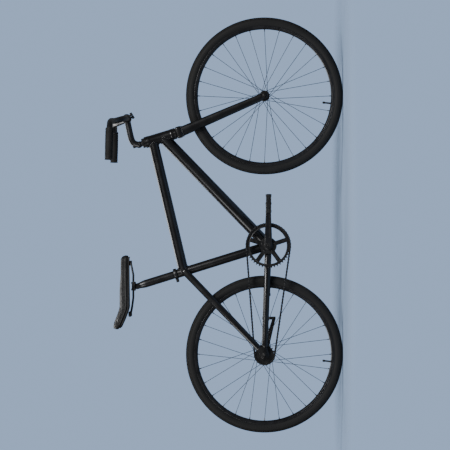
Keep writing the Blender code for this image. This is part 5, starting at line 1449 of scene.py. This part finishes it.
def saddle_half_width(share):
    flare = min(max((share - 0.12) / 0.68, 0), 1)
    width = 0.025 + 0.055 * flare * flare * (3 - 2 * flare)
    nose = math.sqrt(max(1 - (1 - min(share / 0.085, 1)) ** 2, 0))
    tail = math.sqrt(max(1 - max((share - 0.84) / 0.16, 0) ** 2.4, 0))
    return width * (0.42 + 0.58 * nose) * (0.50 + 0.50 * tail)


def saddle_top(share):
    kick = max((share - 0.70) / 0.30, 0)
    return PIVOT.z + 0.070 + 0.035 * kick ** 1.25 - 0.004 * (1 - min(share / 0.06, 1)) ** 2


def saddle_loft(name, shares, section, material, sharp):
    """A closed skin over sections across it. section(share) gives half of one, top to bottom."""
    bm = bmesh.new()
    rows = []
    for share in shares:
        left = section(share)
        row = left + [(-y, z) for y, z in left[-2:0:-1]]
        rows.append([bm.verts.new((saddle_x(share), y, z)) for y, z in row])
    for near, far in zip(rows, rows[1:]):
        for i in range(len(near)):
            j = (i + 1) % len(near)
            bm.faces.new((near[i], near[j], far[j], far[i]))
    bm.faces.new(rows[0])
    bm.faces.new(rows[-1])
    return mesh_piece(name, bm, material, sharp)


def relaxed(points, times, closed=True):
    """The points drawn a little towards their neighbours, so many times."""
    for _ in range(times):
        row = [(a + 2 * b + c) / 4 for a, b, c in zip(points[-1:] + points, points,
                                                      points[1:] + points[:1])]
        if not closed:
            row[0], row[-1] = points[0], points[-1]
        points = row
    return points


# %% Rails
rail_low = RAILS_LEVEL.z
rail_rise = saddle_top(0.3) - SADDLE_THICKNESS - 0.003 - 0.0035 - rail_low
front, back, straight = saddle_x(0.10), saddle_x(0.80), 0.038
half_rail = [Vector(p) for p in ((back, 0.0418, rail_low + rail_rise + 0.00175),
                                 (back + 0.028, 0.0319, rail_low + rail_rise * 0.55),
                                 (PIVOT.x - straight - 0.008, RAIL_SPREAD, rail_low),
                                 (PIVOT.x - straight, RAIL_SPREAD, rail_low),
                                 (PIVOT.x + straight, RAIL_SPREAD, rail_low),
                                 (PIVOT.x + straight + 0.008, RAIL_SPREAD, rail_low),
                                 (front - 0.018, 0.01584, rail_low + rail_rise * 0.66),
                                 (front, 0.00924, rail_low + rail_rise))]
rail_path = relaxed(smooth_path(half_rail + [mirrored(p) for p in reversed(half_rail)], 8), 10,
                    False)
fit(swept("saddle_rails_dressed", rail_path, [(0.0070, 0.0070)] * len(rail_path), BLACK_STEEL, 24,
          UPWARD), "saddle")


# %% Base with its ribs and the sockets of the rails
def base_section(share):
    half, top = saddle_half_width(share) - 0.0022, saddle_top(share)
    low, shoulder = top - SADDLE_THICKNESS, top - 0.0302
    return [(0.0, shoulder), (half * 0.6, shoulder), (half - 0.001, shoulder),
            (half, shoulder - 0.0010), (half, low + 0.0010), (half - 0.001, low),
            (half - 0.0040, low), (half - 0.0048, low + 0.0008), (half - 0.0055, low + 0.0036),
            (half * 0.55, low + 0.0040), (0.0, low + 0.0042)]


base = [saddle_loft("base", [0.02 + 0.96 * step / 56 for step in range(57)], base_section,
                    PLASTIC, 40)]
for share in (0.30, 0.38, 0.46, 0.54, 0.62, 0.70):
    place = Vector((saddle_x(share), 0, saddle_top(share) - SADDLE_THICKNESS + 0.0030))
    width = 2 * (saddle_half_width(share) - 0.0075)
    base.append(block("rib", (0.0020, width, 0.0030), place, PLASTIC, 0.0006))
fit(merged("saddle_base_dressed", base), "saddle")
sockets = []
for share, y, rail_end, size in ((0.105, 0.0, half_rail[-1], (0.020, 0.030, 0.010)),
                                 (0.795, 0.0414, half_rail[0], (0.020, 0.014, 0.012)),
                                 (0.795, -0.0414, half_rail[0], (0.020, 0.014, 0.012))):
    place = Vector((saddle_x(share), y, rail_end.z + 0.0012))
    sockets.append(block("socket", size, place, PLASTIC, 0.0026, 3))
fit(merged("saddle_rail_sockets", sockets), "saddle")
print("saddle base", [round(v, 4) for v in base_section(0.7)[3]])

# %% [markdown]
# The cover is vinyl stretched over foam. A drawn shape looks hard, so the foam is blown up a
# little by a cloth simulation: the loft starts slightly small, is remeshed into even squares, and
# pressure swells it while its lower rim is held by the base. A cap keeps every point close to
# where it began. The seam and its stitches come after that, because remeshing would lose them.

# %% Foam and vinyl before the seams
COVER_SKIRT = 0.0286
COVER_SHAPE = [(0.0, 0.0), (0.22, 0.0004), (0.42, 0.0014), (0.60, 0.0032), (0.75, 0.0060),
               (0.87, 0.0098), (0.95, 0.0145), (0.99, 0.0195), (1.0, 0.0240), (0.985, 0.0280),
               (0.95, COVER_SKIRT), (0.0, COVER_SKIRT)]


def cover_section(share):
    """Half a section of the foam, lower and narrower towards the ends of nose and tail."""
    half, top = saddle_half_width(share) - 0.0012, saddle_top(share) - 0.0012
    end = max(1 - share / 0.075, 1 - (1 - share) / 0.06, 0)
    close = 1 - math.sqrt(max(1 - end**2, 0))
    return [(half * y * (1 - 0.32 * close * (1 - z / COVER_SKIRT)),
             top - z - 0.013 * close * (1 - z / COVER_SKIRT)) for y, z in COVER_SHAPE]


rough = saddle_loft("saddle_cover_dressed",
                    [0.5 - 0.5 * math.cos(math.pi * step / 64) for step in range(65)],
                    cover_section, VINYL, 60)
remesh = rough.modifiers.new("Even squares", "REMESH")
remesh.mode = "VOXEL"
remesh.voxel_size = 0.0042
cover = evaluated(rough, VINYL, 80)
held = [v.index for v in cover.data.vertices
        if v.co.z < saddle_top(min(max((SADDLE_NOSE - v.co.x) / SADDLE_LENGTH, 0), 1)) - 0.0255]
print("cover points", len(cover.data.vertices), "held", len(held))

# %% Swelling it
PRESSURE, TRAVEL_CAP, SWELLING_FRAMES = 4.0, 0.0045, 20


def swell(start, held):
    """Puts pressure inside the mesh, with the held points fixed, and says how far it reached."""
    start.vertex_groups.new(name="held").add(held, 1.0, "REPLACE")
    cloth = start.modifiers.new("Cloth", "CLOTH")
    cloth.settings.quality = 6
    cloth.settings.mass = 0.25
    cloth.settings.tension_stiffness = cloth.settings.compression_stiffness = 12
    cloth.settings.shear_stiffness = 4
    cloth.settings.bending_stiffness = 0.6
    cloth.settings.use_pressure = True
    cloth.settings.uniform_pressure_force = PRESSURE
    cloth.settings.vertex_group_mass = "held"
    cloth.settings.effector_weights.gravity = 0
    for number in range(1, SWELLING_FRAMES + 1):
        bpy.context.scene.frame_set(number)
    moved = start.evaluated_get(bpy.context.evaluated_depsgraph_get()).to_mesh()
    ways = [b.co - a.co for a, b in zip(start.data.vertices, moved.vertices)]
    start.modifiers.clear()
    start.vertex_groups.clear()
    for vert, way in zip(start.data.vertices, ways):
        vert.co += way * min(1.0, TRAVEL_CAP / max(way.length, 1e-9))
    bpy.context.scene.frame_set(1)
    return max(way.length for way in ways)


print("swelling reached", round(swell(cover, held), 4))

# %% Softening and subdividing
finer = cover.modifiers.new("Finer", "SUBSURF")
finer.levels = finer.render_levels = 2
cover = evaluated(cover, VINYL, 180)
relax = cover.modifiers.new("Relax", "SMOOTH")
relax.factor, relax.iterations = 0.5, 8
cover = evaluated(cover, VINYL, 180)


# %% Where the seam runs
def seam_side(side):
    return [Vector((saddle_x(share), side * saddle_half_width(share) * 0.90,
                    saddle_top(share) - 0.0112))
            for share in (0.004 + 0.99 * step / 80 for step in range(81))]


left, right = seam_side(1), seam_side(-1)
loop = left + [left[-1].lerp(right[-1], step / 12) for step in range(1, 12)] + right[::-1]
loop = relaxed(loop + [right[0].lerp(left[0], step / 5) for step in range(1, 5)], 3)
dense = []
for a, b in zip(loop, loop[1:] + loop[:1]):
    pieces = max(1, int((b - a).length / 0.0012))
    dense += [a.lerp(b, i / pieces) for i in range(pieces)]
skin = BVHTree.FromObject(cover, bpy.context.evaluated_depsgraph_get())
dense = relaxed([skin.find_nearest(p)[0] for p in dense], 4)
seam_line = [skin.find_nearest(p)[:2] for p in dense]
print("seam length", round(sum((b - a).length for a, b in zip(dense, dense[1:])), 3))

# %% The seam's channel
CHANNEL_REACH = 0.0048
nearest = KDTree(len(seam_line))
for index, (place, _) in enumerate(seam_line):
    nearest.insert(place, index)
nearest.balance()
sunk = []
for vert in cover.data.vertices:
    far = min(nearest.find(vert.co)[2], CHANNEL_REACH)
    depth = 0.0011 * (1 - (far / CHANNEL_REACH) ** 2) ** 2 + 0.0007 * max(1 - far / 0.0013, 0)
    sunk.extend(vert.co - vert.normal * depth)
cover.data.vertices.foreach_set("co", sunk)
cover.data.update()
fit(cover, "saddle")

# %% Stitches on both sides of the seam
channel = BVHTree.FromObject(cover, bpy.context.evaluated_depsgraph_get())
rows = []
for shift in (0.0021, -0.0021):
    rows.append([])
    for i, (place, normal) in enumerate(seam_line):
        run = (seam_line[(i + 1) % len(seam_line)][0] - seam_line[i - 1][0]).normalized()
        spot, out = channel.find_nearest(place + run.cross(normal).normalized() * shift)[:2]
        rows[-1].append(spot + out * 0.00012)
stitch = ball("stitch", 8, (0.00042, 0.00042, 0.00118), THREAD)
stitches = rowed("saddle_stitches", rows, stitch, 0.0031, closed=True, sharp=80)
fit(stitches, "saddle")
print("stitches", len(stitches.data.polygons) // 48)

# %% [markdown]
# ## The drive
#
# Everything that turns with the pedals. The chain joins a ring of 44 teeth to one of 20, so its
# rollers must lie in the spaces between the teeth of both. That only works out when the whole
# loop is a whole number of pitches, here 102, and when both wheels are turned to match, so the
# teeth, the chain and the length of the stays all come from the same few numbers.

# %% The pitch line
PITCH = 0.0127
ROLLER = 0.0039
CHAIN_PLANE = -0.047
RING_TEETH, COG_TEETH = 44, 20
RING_RADIUS = PITCH / (2 * math.sin(math.pi / RING_TEETH))
COG_RADIUS = PITCH / (2 * math.sin(math.pi / COG_TEETH))
APART = CRANK_AXIS - REAR_AXLE
LEAN = math.asin((RING_RADIUS - COG_RADIUS) / APART.length)
TILT = math.atan2(APART.z, APART.x)
TOP, LOW = TILT + math.pi / 2 + LEAN, TILT - math.pi / 2 - LEAN
RUN = APART.length * math.cos(LEAN) / PITCH
COG_ARC = (LOW + FULL_TURN - TOP) / FULL_TURN * COG_TEETH
RING_ARC = (TOP - LOW) / FULL_TURN * RING_TEETH
LOOP = 2 * RUN + COG_ARC + RING_ARC
LINK_COUNT = round(LOOP)


def ring_point(angle):
    return wheel_point(CRANK_AXIS, RING_RADIUS, angle, CHAIN_PLANE)


def cog_point(angle):
    return wheel_point(REAR_AXLE, COG_RADIUS, angle, CHAIN_PLANE)


def pitch_point(step):
    """The pitch line's point so many pitches past the ring's upper tangent point."""
    if step < RUN:
        return ring_point(TOP).lerp(cog_point(TOP), step / RUN)
    step -= RUN
    if step < COG_ARC:
        return cog_point(TOP + step * FULL_TURN / COG_TEETH)
    step -= COG_ARC
    if step < RUN:
        return cog_point(LOW).lerp(ring_point(LOW), step / RUN)
    return ring_point(LOW + (step - RUN) * FULL_TURN / RING_TEETH)


print("links", LINK_COUNT, round(LOOP, 3))

# %% Toothed edges
RING_TURN = TOP + math.pi / RING_TEETH
COG_TURN = TOP + FULL_TURN / COG_TEETH * (1.5 - RUN % 1)


def toothed(centre, teeth, radius, turn):
    """Teeth between round seats for the rollers, as an outline in the X and Z directions."""
    points, step = [], FULL_TURN / teeth
    for tooth in range(teeth):
        for share, high in ((-0.075, 0.0028), (-0.03, 0.0032), (0.03, 0.0032), (0.075, 0.0028)):
            tip, angle = radius + high, turn + step * (tooth + share)
            points.append(Vector((centre.x + tip * math.cos(angle),
                                  centre.z + tip * math.sin(angle))))
        middle = turn + step * (tooth + 0.5)
        out = Vector((math.cos(middle), math.sin(middle)))
        around = Vector((-out.y, out.x))
        for degrees in (-78, -52, -26, 0, 26, 52, 78):
            part = math.radians(degrees)
            points.append(Vector(flat(centre)) + out * (radius - ROLLER * math.cos(part))
                          + around * ROLLER * math.sin(part))
    return points


# %% Chainring: five arms, a band of teeth, and its rivets
RING_ARMS, HALF_ARM = 5, 0.009
WINDOW_INNER, WINDOW_OUTER = 0.034, 0.0750
RING_CENTRE = CRANK_AXIS + LATERAL * CHAIN_PLANE


def ring_window(index):
    """The opening between two arms, with rounded corners."""
    middle, half = FULL_TURN * (index + 0.5) / RING_ARMS, math.pi / RING_ARMS
    near, far = half - HALF_ARM / WINDOW_INNER, half - HALF_ARM / WINDOW_OUTER
    return eased(arc(flat(CRANK_AXIS), WINDOW_OUTER, middle - far, middle + far, 20)
                 + arc(flat(CRANK_AXIS), WINDOW_INNER, middle + near, middle - near, 6), 0.0035, 5)


edges = [toothed(CRANK_AXIS, RING_TEETH, RING_RADIUS, RING_TURN), circle(flat(CRANK_AXIS), 0.0088)]
ring = plate("ring", edges + [ring_window(index) for index in range(RING_ARMS)], 0.0026,
             CHAIN_PLANE, toothed_steel("chainring_steel", CRANK_AXIS, RING_RADIUS), 0.0003)
bead = mm((78.2, 1.3), (77.2, 1.8), (76.5, 1.8), (75.7, 1.3))
swage = turned("bead", [(r, -y) for r, y in bead] + bead[::-1], RING_CENTRE, LATERAL, BLACK_STEEL,
               160)
boss = turned("boss", mm((8.8, -3), (17.2, -3), (19, -1.2), (19, 1.2), (17.2, 2.4), (8.8, 2.4)),
              RING_CENTRE, LATERAL, BLACK_STEEL, 96, 0.0004)
rivet = turned("rivet", mm((0, 1.6), (2.2, 1.4), (3.6, 0.8), (4.2, 0), (4.2, -0.5), (0, -0.5)),
               CRANK_AXIS + Vector((0.0268, CHAIN_PLANE - 0.0013, 0)), -LATERAL, BLACK_STEEL, 32)
rivets = ringed(rivet, RING_ARMS, RING_CENTRE, LATERAL)
fit(merged("chainring_dressed", [ring, swage, boss, rivets]), "crank")
print("chainring radius", round(RING_RADIUS, 5))

# %% Rear sprocket and its driver
edges = [toothed(REAR_AXLE, COG_TEETH, COG_RADIUS, COG_TURN), circle(flat(REAR_AXLE), 0.0150)]
cog = plate("cog", edges, 0.0026, CHAIN_PLANE,
            toothed_steel("sprocket_steel", REAR_AXLE, COG_RADIUS), 0.0003)
driver = turned("driver", mm((5.3, 0), (12.8, 0), (12.8, 1.6), (16, 1.6), (16, 8), (15.2, 8),
                             (15.2, 8.8), (15.8, 8.8), (15.8, 9.9), (15, 9.9), (15, 11.2),
                             (11.8, 12.6), (11.8, 15), (5.3, 15)),
                REAR_AXLE + LATERAL * (CHAIN_PLANE + 0.0055), -LATERAL, BLACK_STEEL, 96, 0.0003)
fit(merged("rear_sprocket_dressed", [cog, driver]), "sprocket")
print("sprocket radius", round(COG_RADIUS, 5))

# %% [markdown]
# A chain is two kinds of link in turn. Narrow ones carry the rollers and wide ones carry the pins,
# whose ends are hammered over. One of each is made, and the tree for points sets the narrow ones
# on the even points and the wide ones on the odd points.

# %% One link of each kind
LINK_WAIST, WAIST_START = 0.0031, 0.0022


def link_plates(radius, inner, outer):
    """The two plates of a link: round ends joined by a softly waisted middle."""
    reach = PITCH / 2
    shoulder = math.sqrt(radius**2 - WAIST_START**2)
    edge = []
    for step in range(25):
        x = (reach + radius) * math.cos(math.pi * step / 24)
        beyond = abs(x) - reach
        if beyond > -WAIST_START:
            high = math.sqrt(max(radius**2 - beyond**2, 0))
        else:
            high = LINK_WAIST + (shoulder - LINK_WAIST) * (abs(x) / (reach - WAIST_START)) ** 2
        edge.append((x, high))
    edge += [(x, -y) for x, y in edge[-2:0:-1]]
    return [plate("link", [edge], outer - inner, side * (inner + outer) / 2, BLACK_STEEL, 0.00015)
            for side in (1, -1)]


def at_both_joints(name, profile, material, steps):
    return [turned(name, profile, Vector((way * PITCH / 2, 0, 0)), LATERAL, material, steps)
            for way in (-1, 1)]


narrow = merged("narrow_link", link_plates(0.0041, 0.0024, 0.0033))
wide = merged("wide_link", link_plates(0.0042, 0.0034, 0.0043) + at_both_joints(
    "pin", mm((0, 4.8), (1.2, 4.7), (1.8, 4.3), (1.8, -4.3), (1.2, -4.7), (0, -4.8)),
    BLACK_STEEL, 16))
rollers = merged("link_rollers", at_both_joints(
    "roller", [(0.0020, 0.0022), (0.0037, 0.0022), (ROLLER, 0.0020), (ROLLER, -0.0020),
               (0.0037, -0.0022), (0.0020, -0.0022)], BRIGHT_WEAR, 20))

# %% The chain
joints = [pitch_point(step) for step in range(LINK_COUNT)]
pairs = list(zip(joints, joints[1:] + joints[:1]))
spots = [(a + b) / 2 for a, b in pairs]
turns = [-math.atan2(b.z - a.z, b.x - a.x) for a, b in pairs]
fit(strewn("chain_rollers", spots, turns, rollers, 0), "frame", slot="chain_steel")
links = merged("chain_links", [strewn("narrow_links", spots, turns, narrow, 0),
                               strewn("wide_links", spots, turns, wide, 1)])
fit(links, "frame", "chain", slot="chain_steel")
for item in (narrow, wide, rollers):
    bpy.data.objects.remove(item)
print("chain faces", len(links.data.polygons))

# %% [markdown]
# The crank arms are forged, so they are rounded all over, waisted and grooved. Each steps
# outwards on its way to the pedal. A plate is made in the boss's plane, cut, sliced crosswise,
# and then its slices are shifted sideways.

# %% Crank arms, with bores, groove and step
CRANK_REACH = 0.170
BOSS_PLANE, TIP_PLANE = 0.056, 0.064
STEP_START, STEP_LENGTH, STEP_SLICES = 0.018, CRANK_REACH - 0.032, 24


def crank_tip(side):
    return CRANK_AXIS - FORWARD * side * CRANK_REACH


def eased_share(share):
    return share * share * (3 - 2 * share)


def along_crank(shape, side):
    """An outline drawn with its pedal at +X, laid along the crank of that side."""
    placed = [(CRANK_AXIS.x - side * p.x, CRANK_AXIS.z + p.y) for p in shape]
    return placed if side < 0 else placed[::-1]


def crank_arm(word, side):
    way, out = -FORWARD * side, LATERAL * side
    flank = [Vector((0.020 + 0.130 * s / 8, 0.0148 - 0.0042 * eased_share(s / 8)))
             for s in range(9)]
    shape = (arc((0, 0), 0.0160, math.radians(78), math.radians(282), 30)
             + [Vector((p.x, -p.y)) for p in flank]
             + arc((CRANK_REACH, 0), 0.0120, math.radians(-82), math.radians(82), 24) + flank[::-1])
    groove = (arc((0.036, 0), 0.0058, math.pi / 2, math.pi * 1.5, 12)
              + arc((0.138, 0), 0.0040, -math.pi / 2, math.pi / 2, 12))
    arm = plate("arm", [along_crank(shape, side)], 0.013, side * BOSS_PLANE, ANODISED, 0.0028)
    flute = plate("flute", [along_crank(groove, side)], 0.0060, side * (BOSS_PLANE + 0.0080),
                  ANODISED, 0.0012)
    arm = cut_by(arm, flute, drill(CRANK_AXIS, out, 0.0088, 48, -0.040, 0.070),
                 drill(CRANK_AXIS, out, 0.0112, 48, -0.0590, 0.070),
                 drill(crank_tip(side), out, 0.0068, 48, -0.040, 0.070))
    bm = bmesh.new()
    bm.from_mesh(arm.data)
    for step in range(1, STEP_SLICES):
        place = CRANK_AXIS + way * (STEP_START + STEP_LENGTH * (step + 0.137) / STEP_SLICES)
        bmesh.ops.bisect_plane(bm, geom=bm.verts[:] + bm.edges[:] + bm.faces[:], dist=1e-6,
                               plane_co=place, plane_no=way)
    for vert in bm.verts:
        share = min(max(((vert.co - CRANK_AXIS).dot(way) - STEP_START) / STEP_LENGTH, 0), 1)
        vert.co.y += side * (TIP_PLANE - BOSS_PLANE) * eased_share(share)
    bpy.data.objects.remove(arm)
    return mesh_piece(f"crank_arm_{word}_dressed", bm, ANODISED, 30)


for word, side in SIDES.items():
    fit(crank_arm(word, side), "crank")
    print("crank arm", word, [round(v, 4) for v in crank_tip(side)])

# %% Spindle with its caps
CAP_SECTION = mm((0, 63.4), (3.4, 63.4), (3.6, 62.2), (6.2, 62.2), (6.6, 63.8), (9.6, 63.6),
                 (10.9, 62.4), (10.9, 59.2), (0, 59.2))
spindle = [rod("bar", CRANK_AXIS - LATERAL * 0.0600, CRANK_AXIS + LATERAL * 0.0600, 0.0085,
               BLACK_STEEL, 64)]
spindle += [turned("cap", CAP_SECTION, CRANK_AXIS, LATERAL * side, BLACK_STEEL, 64, 0.0002)
            for side in SIDES.values()]
fit(merged("crank_spindle_dressed", spindle), "crank")

# %% The pedals' spindles
for word, side in SIDES.items():
    tip, out = crank_tip(side), LATERAL * side
    parts = [rod("screwed", tip + out * 0.0574, tip + out * 0.0709, 0.0065, BLACK_STEEL),
             rod("axle", tip + out * 0.0706, tip + out * 0.1605, 0.0062, BLACK_STEEL),
             hex_nut("flats", tip + out * 0.0722, out, 0.0092, 0.0036, 0.0060),
             turned("collar", mm((0, 70.6), (8.6, 70.6), (9.2, 71.1), (9.2, 72.2), (0, 72.2)), tip,
                    out, BLACK_STEEL, 48)]
    fit(merged(f"pedal_spindle_{word}_dressed", parts), "crank")
print("spindles done")

# %% [markdown]
# Each pedal is one moulding: a barrel round the spindle, a bar in front and one behind, and two
# walls. Rows of studs along the bars give the shoe its hold. The walls are hollowed, as mouldings
# are, and a screwed cap closes the outer bearing.

# %% Pedals
PEDAL_MIDDLE = 0.1225
PEDAL_LENGTH, PEDAL_WIDTH, PEDAL_HEIGHT = 0.076, 0.092, 0.0200
PEDAL_BAR, PEDAL_BARREL, HOLLOW_LEVEL = 0.011, 0.0115, 0.0044
OPENING = (PEDAL_LENGTH - 2 * PEDAL_BAR) / 2 - PEDAL_BARREL


def pedal_moulding(centre, side):
    def hollow(size, x, y, z, edge=0.0008, segments=2):
        return block("hollow", size, centre + Vector((x, y, z)), PLASTIC, edge, segments)

    hollows, out = [], LATERAL * side
    for way in (-1, 1):
        hollows.append(hollow((OPENING, PEDAL_WIDTH - 2 * PEDAL_BAR, 0.048),
                              way * (PEDAL_BARREL + OPENING / 2), 0, 0, 0.0025, 3))
        for level in (-HOLLOW_LEVEL, HOLLOW_LEVEL):
            hollows += [hollow((0.0030, PEDAL_WIDTH - 0.026, 0.0048), way * PEDAL_LENGTH / 2, 0,
                               level),
                        hollow((0.0170, 0.0030, 0.0048), way * 0.0235, side * PEDAL_WIDTH / 2,
                               level)]
    body = cut_by(block("body", (PEDAL_LENGTH, PEDAL_WIDTH, PEDAL_HEIGHT), centre, PLASTIC,
                        0.0028, 3), *hollows)
    drum = rod("drum", centre - LATERAL * 0.0453, centre + LATERAL * 0.0453, PEDAL_BARREL,
               PLASTIC, 64)
    return cut_by(cut_by(body, drum, how="UNION"), drill(centre, out, 0.0068, 48, 0.052, 0.0396),
                  drill(centre, out, 0.0078, 48, -0.0452, 0.052))


def pedal_studs(centre):
    """Studs in rows along both bars, upside down under the pedal."""
    stud = turned("stud", mm((0, 2.2), (0.9, 2.1), (1.1, 1.8), (1.7, -0.4), (0, -0.4)), Vector(),
                  UPWARD, PLASTIC, 16)
    spots, turns = [], []
    for level, turn in ((-1, math.pi), (1, 0.0)):
        for x in (0.0032 - PEDAL_LENGTH / 2, 0.0082 - PEDAL_LENGTH / 2,
                  PEDAL_LENGTH / 2 - 0.0082, PEDAL_LENGTH / 2 - 0.0032):
            spots += [centre + Vector((x, -0.036 + 0.008 * step, level * PEDAL_HEIGHT / 2))
                      for step in range(10)]
            turns += [turn] * 10
    studs = [strewn("studs", spots, turns, stud, parity) for parity in (0, 1)]
    bpy.data.objects.remove(stud)
    return studs


for word, side in SIDES.items():
    centre = crank_tip(side) + LATERAL * side * PEDAL_MIDDLE
    cap = turned("cap", mm((0, 45.4), (3, 45.4), (3.4, 44.6), (6.2, 44.6), (6.6, 45.6), (7.6, 45.6),
                           (7.7, 44), (0, 44)), centre, LATERAL * side, PLASTIC, 48)
    pedal = merged(f"pedal_{word}_dressed",
                   [pedal_moulding(centre, side), cap] + pedal_studs(centre))
    fit(pedal, f"pedal_{word}")
    print("pedal faces", len(pedal.data.polygons))

# %% [markdown]
# The coaster brake needs something to pull against. Its arm runs from the rear axle to a strap
# round the left chain stay, where one bolt draws the strap's ends together.

# %% Brake arm
ARM_PLANE = 0.0465
ARM_END = REAR_AXLE + Vector((0.145, 0, -0.040))
run = (ARM_END - REAR_AXLE).normalized()
lean = math.atan2(run.z, run.x)
edge = hull(circle(flat(REAR_AXLE), 0.0128, 96) + circle(flat(ARM_END), 0.0064, 64))
arm = plate("arm", [edge, circle(flat(REAR_AXLE), AXLE_BORE), circle(flat(ARM_END), 0.0026, 32)],
            0.003, ARM_PLANE, BLACK_STEEL, 0.0005)
bead = (arc(flat(REAR_AXLE + run * 0.026), 0.0042, lean + math.pi / 2, lean + math.pi * 1.5, 12)
        + arc(flat(ARM_END - run * 0.016), 0.0024, lean - math.pi / 2, lean + math.pi / 2, 12))
press = plate("press", [bead], 0.0030, ARM_PLANE + 0.0006, BLACK_STEEL, 0.0007)
fit(merged("coaster_brake_arm_dressed", [arm, press]), "frame")

# %% The strap and its bolt
STRAP_HALF = 0.0006
stay = min(smooth_path(chain_stay_knots(1), 12), key=lambda p: abs(p.x - ARM_END.x))
wide, high = 0.0085, 0.0130
ribbon = [(0.0491, 0.2735), (0.0491, 0.2850), (0.0491, 0.2950), (0.0512, 0.2995)]
ribbon += [(stay.y + wide * math.cos(math.radians(a)), stay.z + high * math.sin(math.radians(a)))
           for a in range(-70, 206, 15)]
ribbon += [(0.0441, 0.3010), (0.0439, 0.2920), (0.0439, 0.2735)]
ribbon = smooth_path([Vector((*p, 0)) for p in ribbon], 4)
outer, inner = [], []
for before, here, after in zip(ribbon[:1] + ribbon, ribbon, ribbon[1:] + ribbon[-1:]):
    forward = (after - before).normalized()
    aside = Vector((forward.y, -forward.x, 0)) * STRAP_HALF
    outer.append(here + aside)
    inner.append(here - aside)
crosswise = Matrix(((0, 0, 1, ARM_END.x), (1, 0, 0, 0), (0, 1, 0, 0), (0, 0, 0, 1)))
fit(merged("brake_arm_strap", [
    plate("strap", [outer + inner[::-1]], 0.012, 0, BLACK_STEEL, 0.0002, crosswise),
    rod("bolt", ARM_END + LATERAL * 0.0392, ARM_END + LATERAL * 0.0512, 0.0025, BLACK_STEEL, 24),
    hex_nut("bolt_head", ARM_END + LATERAL * 0.0498, LATERAL, 0.0046, 0.0030, 0.0010),
    hex_nut("nut", ARM_END + LATERAL * 0.0432, -LATERAL, 0.0046, 0.0030, 0.0024)]), "frame")
print("stay at the strap", [round(v, 4) for v in stay])

# %% [markdown]
# ## Floor, light and camera
#
# Black shows its shape only by what it mirrors, so the lamps are large and few and the rest of
# the surroundings is dim. The camera alone sees a pale backdrop. The floor is a round patch that
# takes the shadows and fades out before its edge, so no horizon crosses the picture.

# %% Floor
pale = bpy.data.materials.new("pale_floor")
pale.use_nodes = True
tree = pale.node_tree
shader = tree.nodes["Principled BSDF"]
shader.inputs["Base Color"].default_value = (0.24, 0.325, 0.465, 1)
shader.inputs["Roughness"].default_value = 0.9
shader.inputs["Specular IOR Level"].default_value = 0.0
reach = node(tree, "ShaderNodeVectorMath", operation="LENGTH")
fade = node(tree, "ShaderNodeMapRange", interpolation_type="SMOOTHSTEP",
            inputs={"From Min": 0.55, "From Max": 1.45, "To Min": 0.0, "To Max": 1.0})
mix = node(tree, "ShaderNodeMixShader")
wire(tree, (node(tree, "ShaderNodeTexCoord"), "Object", reach, 0), (reach, "Value", fade, "Value"),
     (fade, "Result", mix, 0), (shader, "BSDF", mix, 1),
     (node(tree, "ShaderNodeBsdfTransparent"), "BSDF", mix, 2),
     (mix, "Shader", tree.nodes["Material Output"], "Surface"))
floor_bm = bmesh.new()
bmesh.ops.create_circle(floor_bm, cap_ends=True, segments=64, radius=1.5)
mesh_piece("floor", floor_bm, pale)

# %% Surroundings
world = bpy.data.worlds.new("studio")
world.use_nodes = True
tree = world.node_tree
dim = tree.nodes["Background"]
dim.inputs["Color"].default_value = (0.90, 0.94, 1.0, 1)
dim.inputs["Strength"].default_value = 0.16
seen = node(tree, "ShaderNodeBackground",
            inputs={"Color": (0.36, 0.50, 0.74, 1), "Strength": 0.95})
mix = node(tree, "ShaderNodeMixShader")
wire(tree, (node(tree, "ShaderNodeLightPath"), "Is Camera Ray", mix, 0),
     (dim, "Background", mix, 1), (seen, "Background", mix, 2),
     (mix, "Shader", tree.nodes["World Output"], "Surface"))
bpy.context.scene.world = world

# %% Lamps and camera
for name, place, size, power in (("key", Vector((1.6, -3.2, 3.4)), 2.2, 260),
                                 ("fill", Vector((-2.8, -2.6, 2.0)), 2.4, 85),
                                 ("back", Vector((-0.9, 2.6, 3.4)), 2.6, 70)):
    lamp = bpy.data.lights.new(name, "AREA")
    lamp.shape = "DISK"
    lamp.size = size
    lamp.energy = power
    shown(name, lamp).matrix_world = aim(place, place - Vector((0, 0, 0.5)))
view = bpy.data.cameras.new("view")
view.lens = 236
view.clip_end = 200
camera = shown("camera", view)
turn = Matrix(((0, 1, 0), (0, 0, -1), (-1, 0, 0))).to_4x4()
camera.matrix_world = Matrix.Translation((0, -12, 0.48)) @ turn
bpy.context.scene.camera = camera
print("lamps", [lamp.name for lamp in bpy.data.lights])
